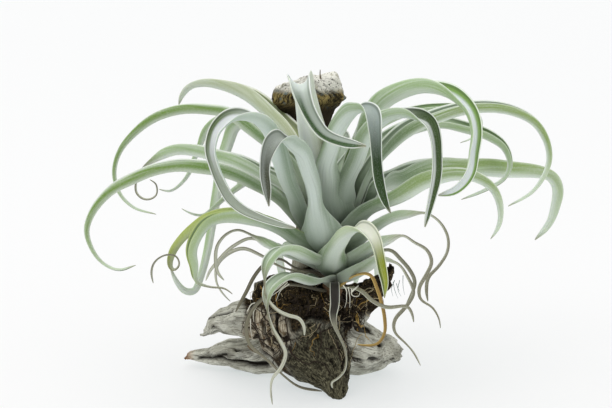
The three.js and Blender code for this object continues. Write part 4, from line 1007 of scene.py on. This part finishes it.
rot = np.maximum(zone(ROT_MIDDLE, ROT_SIZE), zone(KNOB_MIDDLE, KNOB_SIZE))
bark = zone(BARK_MIDDLE, BARK_SIZE)
prow = zone(PROW_MIDDLE, PROW_SIZE) * (1 - bark)
rot = rot * (1 - bark) * (1 - prow)
stub = on_limb("stub") * np.clip((points[:, 2] - STUB_FROM) / STUB_FADE, 0, 1)
rot = rot * (1 - stub)
front = on_limb("mass") * np.clip((FRONT_FACE - points[:, 1]) / FRONT_FADE, 0, 1) * (1 - bark) * (1 - prow)
dark = np.maximum(rot, front)
moves = np.zeros(count)
crack_shade = np.zeros(count)
for i in range(count):
    gx, gy, gz = grain[i]
    wide, raw = rot[i], max(rot[i], bark[i], 0.6 * prow[i], 0.25 * stub[i])
    wander = WANDER * noise.noise(Vector((gx, gy, gz)) / WANDER_SIZE)
    ridge = noise.noise(Vector((gx / RIDGE_WIDTH, gy / RIDGE_WIDTH, gz / RIDGE_RUN + wander)))
    split = noise.noise(Vector((gx / SPLIT_WIDTH + wander, gy / SPLIT_WIDTH, gz / SPLIT_RUN + 7)))
    flake = noise.noise(Vector((gx / FLAKE_WIDTH, gy / FLAKE_WIDTH, gz / FLAKE_RUN + 2 * wander)))
    lump = noise.noise(Vector(points[i]) / LUMP_SIZE)
    pit = noise.noise(Vector(points[i]) / PIT_SIZE + Vector((3, 8, 1)))
    crack = smooth(0.3, 0.5, split)
    chip = smooth(0.12, 0.42, flake) * raw
    hollow = smooth(0.16, 0.5, pit) * wide
    moves[i] = RIDGE_DEPTH * ridge + blend(*LUMP_DEPTHS, raw) * lump
    moves[i] -= SPLIT_DEPTH * crack * (1 - 0.6 * stub[i]) + FLAKE_DEPTH * chip + PIT_DEPTH * hollow
    # How dark the wood is in a crack, chip, pit or groove: partly unbleached wood, partly painted shade.
    crack_shade[i] = min(1, 0.9 * crack + 0.75 * chip + 0.8 * hollow + 0.45 * smooth(0.0, -0.5, ridge))
at_end = np.clip(1 - to_end / END_RUN, 0, 1)
teeth = np.array([smooth(-0.1, 0.4, noise.noise(Vector(p / np.array(TOOTH_SIZE)))) for p in points])
moves -= TOOTH_DEPTH * at_end * on_limb("long left", "upper left", "right") * teeth
crack_line = smooth_path([Vector(s[:3]) for s in LONG_CRACK], 12)
crack_widths = widths_along(LONG_CRACK, len(crack_line))
crack_away = np.linalg.norm((points[:, None, :] - np.array(crack_line)[None, :, :])[:, :, ::2], axis=2)
on_crack = np.clip(1.5 - (crack_away / crack_widths[None, :]).min(axis=1), 0, 1)
on_crack *= on_limb("long left") * np.clip(-normals[:, 1] * 3, 0, 1)
moves -= CRACK_DEPTH * on_crack
crack_shade = np.maximum(crack_shade, on_crack)
bitten = np.clip(1 - np.linalg.norm(points - np.array(RIGHT_BITE), axis=1) / BITE_SIZE, 0, 1)
points = points + normals * moves[:, None]
points -= np.array([BITE_DEPTH, 0, 0]) * (bitten ** 0.5 * on_limb("right"))[:, None]
points[:, 2] = np.maximum(points[:, 2], 0)
wood.data.vertices.foreach_set("co", (points * MM).ravel())
wood.data.attributes.new("grain", "FLOAT_VECTOR", "POINT").data.foreach_set("vector", (grain * MM).ravel())
split_tip = at_end * on_limb("long left")
keep_marks(wood.data, {
    "crack": crack_shade, "rot": dark, "bark": bark, "prow": prow, "stub": stub, "tip": split_tip,
})
wood.data.update()
bpy.ops.object.shade_smooth()

# Weathered wood: ultraviolet light has bleached the limbs silver grey. Every crack, pit and groove stays
# dark, partly as unbleached wood and partly as painted shade.
# The thick middle is rotted to black-brown fibre, with a patch of flaking tan bark and an olive-brown prow.
FIBRE_WIDTH = 0.8 * MM
FIBRE_RUN = 14 * MM
THREAD_SIZE = 2.2 * MM
BLOTCH_SIZE = 8 * MM
SAND_SIZE = 1.2 * MM
WOOD_HARSHNESS = 0.62
STUB_TOP = 180 * MM
weathered, tree = new_material("wave worn weathered root wood")
mark, grit, ramp, mix, *_ = painting_steps(tree)
place = add_node(tree, "ShaderNodeTexCoord").outputs["Object"]
grain_place = add_node(tree, "ShaderNodeAttribute", attribute_name="grain").outputs["Vector"]
fibres = grit(
    stretched(tree, grain_place, FIBRE_WIDTH, FIBRE_WIDTH, FIBRE_RUN), 1.0, 5.0, Roughness=WOOD_HARSHNESS,
)
blotches = grit(place, 1 / BLOTCH_SIZE, 5.0, Roughness=WOOD_HARSHNESS)
threads = grit(place, 1 / THREAD_SIZE, 6.0, Roughness=WOOD_HARSHNESS, Distortion=2.5)
sand = grit(place, 1 / SAND_SIZE, 3.0, Roughness=WOOD_HARSHNESS)
height = add_node(tree, "ShaderNodeSeparateXYZ", {0: place}).outputs[2]

limb_grey = mix(ramp(blotches, 0.38, 0.62), "#d6d6c9", "#b1b0a2")
limb_grey = mix(ramp(fibres, 0.54, 0.34), limb_grey, "#7d7a6e")
limb_grey = mix(ramp(sand, 0.6, 0.72), limb_grey, "#e6e6df")
limb_grey = mix(ramp(threads, 0.64, 0.74), limb_grey, "#7a6a52")
splinter = mix(ramp(fibres, 0.4, 0.6), "#8a5a33", "#c39a6c")
limb_grey = mix(mark("tip"), limb_grey, splinter)
rot_brown = mix(ramp(fibres, 0.42, 0.6), "#120f0a", "#433723")
rot_brown = mix(ramp(blotches, 0.58, 0.7), rot_brown, "#5a4428")
rot_brown = mix(ramp(threads, 0.54, 0.64), rot_brown, "#806f50")
bark_tan = mix(ramp(fibres, 0.4, 0.62), "#6b5c46", "#cfc6b0")
bark_tan = mix(ramp(blotches, 0.58, 0.68), bark_tan, "#85542b")
prow_olive = mix(ramp(fibres, 0.4, 0.64), "#2b291f", "#6c6853")
prow_olive = mix(ramp(sand, 0.58, 0.7), prow_olive, "#8b8870")
stub_side = mix(ramp(fibres, 0.38, 0.6), "#332a1b", "#a99660")
stub_side = mix(ramp(blotches, 0.54, 0.64), stub_side, "#71807f")
stub_side = mix(ramp(threads, 0.6, 0.7), stub_side, "#1f1a12")
stub_top = mix(ramp(sand, 0.33, 0.46), "#3c3a30", "#e6e5da")
stub_top = mix(ramp(blotches, 0.56, 0.68), stub_top, "#b3b19e")
stub_side = mix(ramp(height, STUB_TOP - 4 * MM, STUB_TOP - 14 * MM), stub_side, "#2b2418")
stub_post = mix(ramp(fibres, 0.36, 0.6), "#5a4f3b", "#a59d86")
stub_side = mix(ramp(height, STUB_TOP - 24 * MM, STUB_TOP - 45 * MM), stub_side, stub_post)
stub_tone = mix(ramp(height, STUB_TOP - 3 * MM, STUB_TOP + 2 * MM), stub_side, stub_top)
tone = mix(mark("rot"), limb_grey, rot_brown)
tone = mix(mark("bark"), tone, bark_tan)
tone = mix(mark("prow"), tone, prow_olive)
tone = mix(mark("stub"), tone, stub_tone)
# Near black in every crack and hollow: the wood's own unbleached tone under painted shade.
tone = mix(mark("crack"), tone, "#17130d")
worn_relief = relief(tree, fibres, 0.8 * MM, 0.9)
worn_relief = relief(tree, threads, 0.7 * MM, 0.5, worn_relief)
worn_relief = relief(tree, sand, 0.4 * MM, 0.5, worn_relief)
coat_matter(tree, {"Base Color": tone, "Roughness": 0.92, "Specular IOR Level": 0.15, "Normal": worn_relief})
wood.data.materials.append(weathered)
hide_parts("driftwood")
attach(wood, "root")
wood.select_set(False)

# Old wiry roots: the plant's own, dead and dry, creeping over the rotted wood that they once held on to.
# Each is a hard thread under a millimetre thick, black-brown to straw coloured, tapering to a hair.
ROOT_STEP = 2.2
ROOT_LIFT = 0.25
ROOT_WANDER, ROOT_FALL = 0.35, 0.08
THREAD_TIP = 0.3
ROOT_KINDS = [
    ("black brown root thread", "#17120d", "#3a2d20", 90, (0.28, 0.55), (14, 46)),
    ("straw coloured root thread", "#8d7d5e", "#c4b795", 34, (0.16, 0.32), (10, 34)),
    ("golden root thread", "#7d571c", "#b39149", 10, (0.16, 0.3), (10, 26)),
]
MOTTLE_SIZE = 2.5 * MM
ROOT_FIELD_LOW = Vector((-52, -40, 30))
ROOT_FIELD_HIGH = Vector((30, -2, 66))
# Threads with a place of their own: the golden root on the right, pale threads under the mouth, a fan of
# hairs on the left, a tuft of blue-green hairs by the right curls, and two dead twigs, one on top of the stub
# and one low on the left.
PLACED_THREADS = [
    ("golden root", "#7a5a24", "#c2a35c", 0.5, True, [
        [(22, -22, 54), (20, -24, 54), (18, -26, 53), (15, -30, 52), (13, -31, 50)],
        [(13, -32, 47), (12, -32, 44), (13, -32, 42), (16, -32, 38), (18, -33, 37), (20, -34, 35)],
        [(13, -33, 46), (14, -33, 41), (17, -33, 37)],
    ]),
    ("pale hanging thread", "#b9b7a4", "#e9e8dc", 0.38, False, [
        [(3, -53, 75), (5, -54, 72), (5, -54, 69), (5, -53, 65), (4, -52, 61)],
        [(6, -53, 74), (7, -54, 68), (7, -52, 61)],
        [(8, -53, 73), (8, -54, 70), (9, -55, 69), (12, -55, 69), (13, -54, 71)],
        [(8, -54, 71), (12, -55, 75)],
        [(8, -54, 71.6), (12, -55, 75.6)],
        [(-29, -50, 78), (-34, -50, 74), (-38, -49, 70)],
        [(-30, -50, 76), (-35, -50, 71), (-40, -49, 67)],
        [(-29, -50, 75), (-34, -50, 71), (-37, -49, 64)],
        [(-55, -25, 51), (-52, -30, 57), (-47, -32, 59), (-42, -33, 62)],
        [(-49, -30, 56), (-51, -31, 52), (-51, -31, 46)],
        [(-53, -28, 47), (-53, -27, 40), (-52, -27, 33)],
        [(-57, -22, 43), (-56, -22, 37), (-55, -23, 30)],
    ]),
    ("blue green hair", "#4c6663", "#8aa39d", 0.22, False, [
        [(34, -30, 71), (35, -31, 66), (37, -32, 61)],
        [(36, -30, 70), (37, -31, 67), (38, -30, 65)],
        [(40, -30, 75), (40, -31, 69), (41, -31, 63)],
        [(38, -30, 72), (37, -31, 66), (39, -31, 62)],
        [(35, -30, 72), (33, -31, 67), (34, -31, 62)],
    ]),
    ("dead brown twig", "#3a3022", "#77684c", 0.8, False, [
        [(-9, 34, 181), (-9, 33.5, 185), (-10, 33, 189), (-10, 33, 193)],
        [(-55, -22, 28), (-53, -24, 26), (-49, -26, 24)],
    ]),
]
BEFORE_WOOD = Vector((0, 40 * MM, 0))
draw = random.Random(11)
skin = BVHTree.FromObject(wood, bpy.context.evaluated_depsgraph_get())


def creep(length):
    """One root's line over the wood, from a random start on its rotted front."""
    start = Vector([draw.uniform(a, b) for a, b in zip(ROOT_FIELD_LOW, ROOT_FIELD_HIGH)])
    spot, normal, _, _ = skin.find_nearest(start * MM)
    heading = Vector((draw.uniform(-1, 1), draw.uniform(-0.6, 0.2), draw.uniform(-1, 0.1)))
    bow = draw.choice((0, 0, 1.4, 3)) * MM
    line = []
    steps = round(length / ROOT_STEP)
    for k in range(steps):
        arch = bow * math.sin(math.pi * k / steps)
        line.append(spot + normal * (ROOT_LIFT * MM + arch))
        heading += Vector([draw.gauss(0, ROOT_WANDER) for _ in range(3)]) + Vector((0, 0, -ROOT_FALL))
        heading = (heading - normal * heading.dot(normal)).normalized()
        spot, normal, _, _ = skin.find_nearest(spot + heading * ROOT_STEP * MM)
    return line


def thread_material(name, dark, light):
    """A dry thread: dull, rough, mottled along its length."""
    material, tree = new_material(name)
    place = add_node(tree, "ShaderNodeTexCoord").outputs["Object"]
    mottle = speckle(tree, place, 1 / MOTTLE_SIZE, 3.0)
    tone = mix_colours(tree, mottle, dark, light)
    coat_matter(tree, {"Base Color": tone, "Roughness": 0.75, "Specular IOR Level": 0.3})
    return material


def thread_bundle(name, lines, material):
    """Threads as one body: each line has its points and its thickness at the foot."""
    shape = bpy.data.curves.new(name, "CURVE")
    shape.dimensions = "3D"
    shape.bevel_depth = 1.0
    shape.bevel_resolution = 1
    shape.use_fill_caps = True
    for points, radius in lines:
        spline = shape.splines.new("POLY")
        spline.points.add(len(points) - 1)
        for k, (point, corner) in enumerate(zip(points, spline.points)):
            corner.co = (*point, 1)
            corner.radius = radius * MM * blend(1, THREAD_TIP, k / (len(points) - 1))
    bundle = bpy.data.objects.new(name, shape)
    bpy.context.collection.objects.link(bundle)
    bpy.context.view_layer.objects.active = bundle
    bundle.select_set(True)
    bpy.ops.object.convert(target="MESH")
    bpy.ops.object.shade_smooth()
    bundle.data.materials.append(material)
    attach(bundle, "root")
    bundle.select_set(False)


for name, dark, light, amount, thickness, lengths in ROOT_KINDS:
    lines = [(creep(draw.uniform(*lengths)), draw.uniform(*thickness)) for _ in range(amount)]
    thread_bundle(name.replace(" ", "_"), lines, thread_material(name, dark, light))

for name, dark, light, radius, on_wood, routes in PLACED_THREADS:
    lines = []
    for route in routes:
        line = [point * MM for point in smooth_path([Vector(p) for p in route], 5)]
        if on_wood:
            hits = [skin.ray_cast(point - BEFORE_WOOD, Vector((0, 1, 0)))[0] or point for point in line]
            fronts = [
                min(hit.y for hit in hits[max(k - 2, 0):k + 3]) - radius * 0.5 * MM for k in range(len(hits))
            ]
            line = [Vector((point.x, front, point.z)) for point, front in zip(line, fronts)]
        lines.append((line, radius))
    thread_bundle(name.replace(" ", "_"), lines, thread_material(name, dark, light))
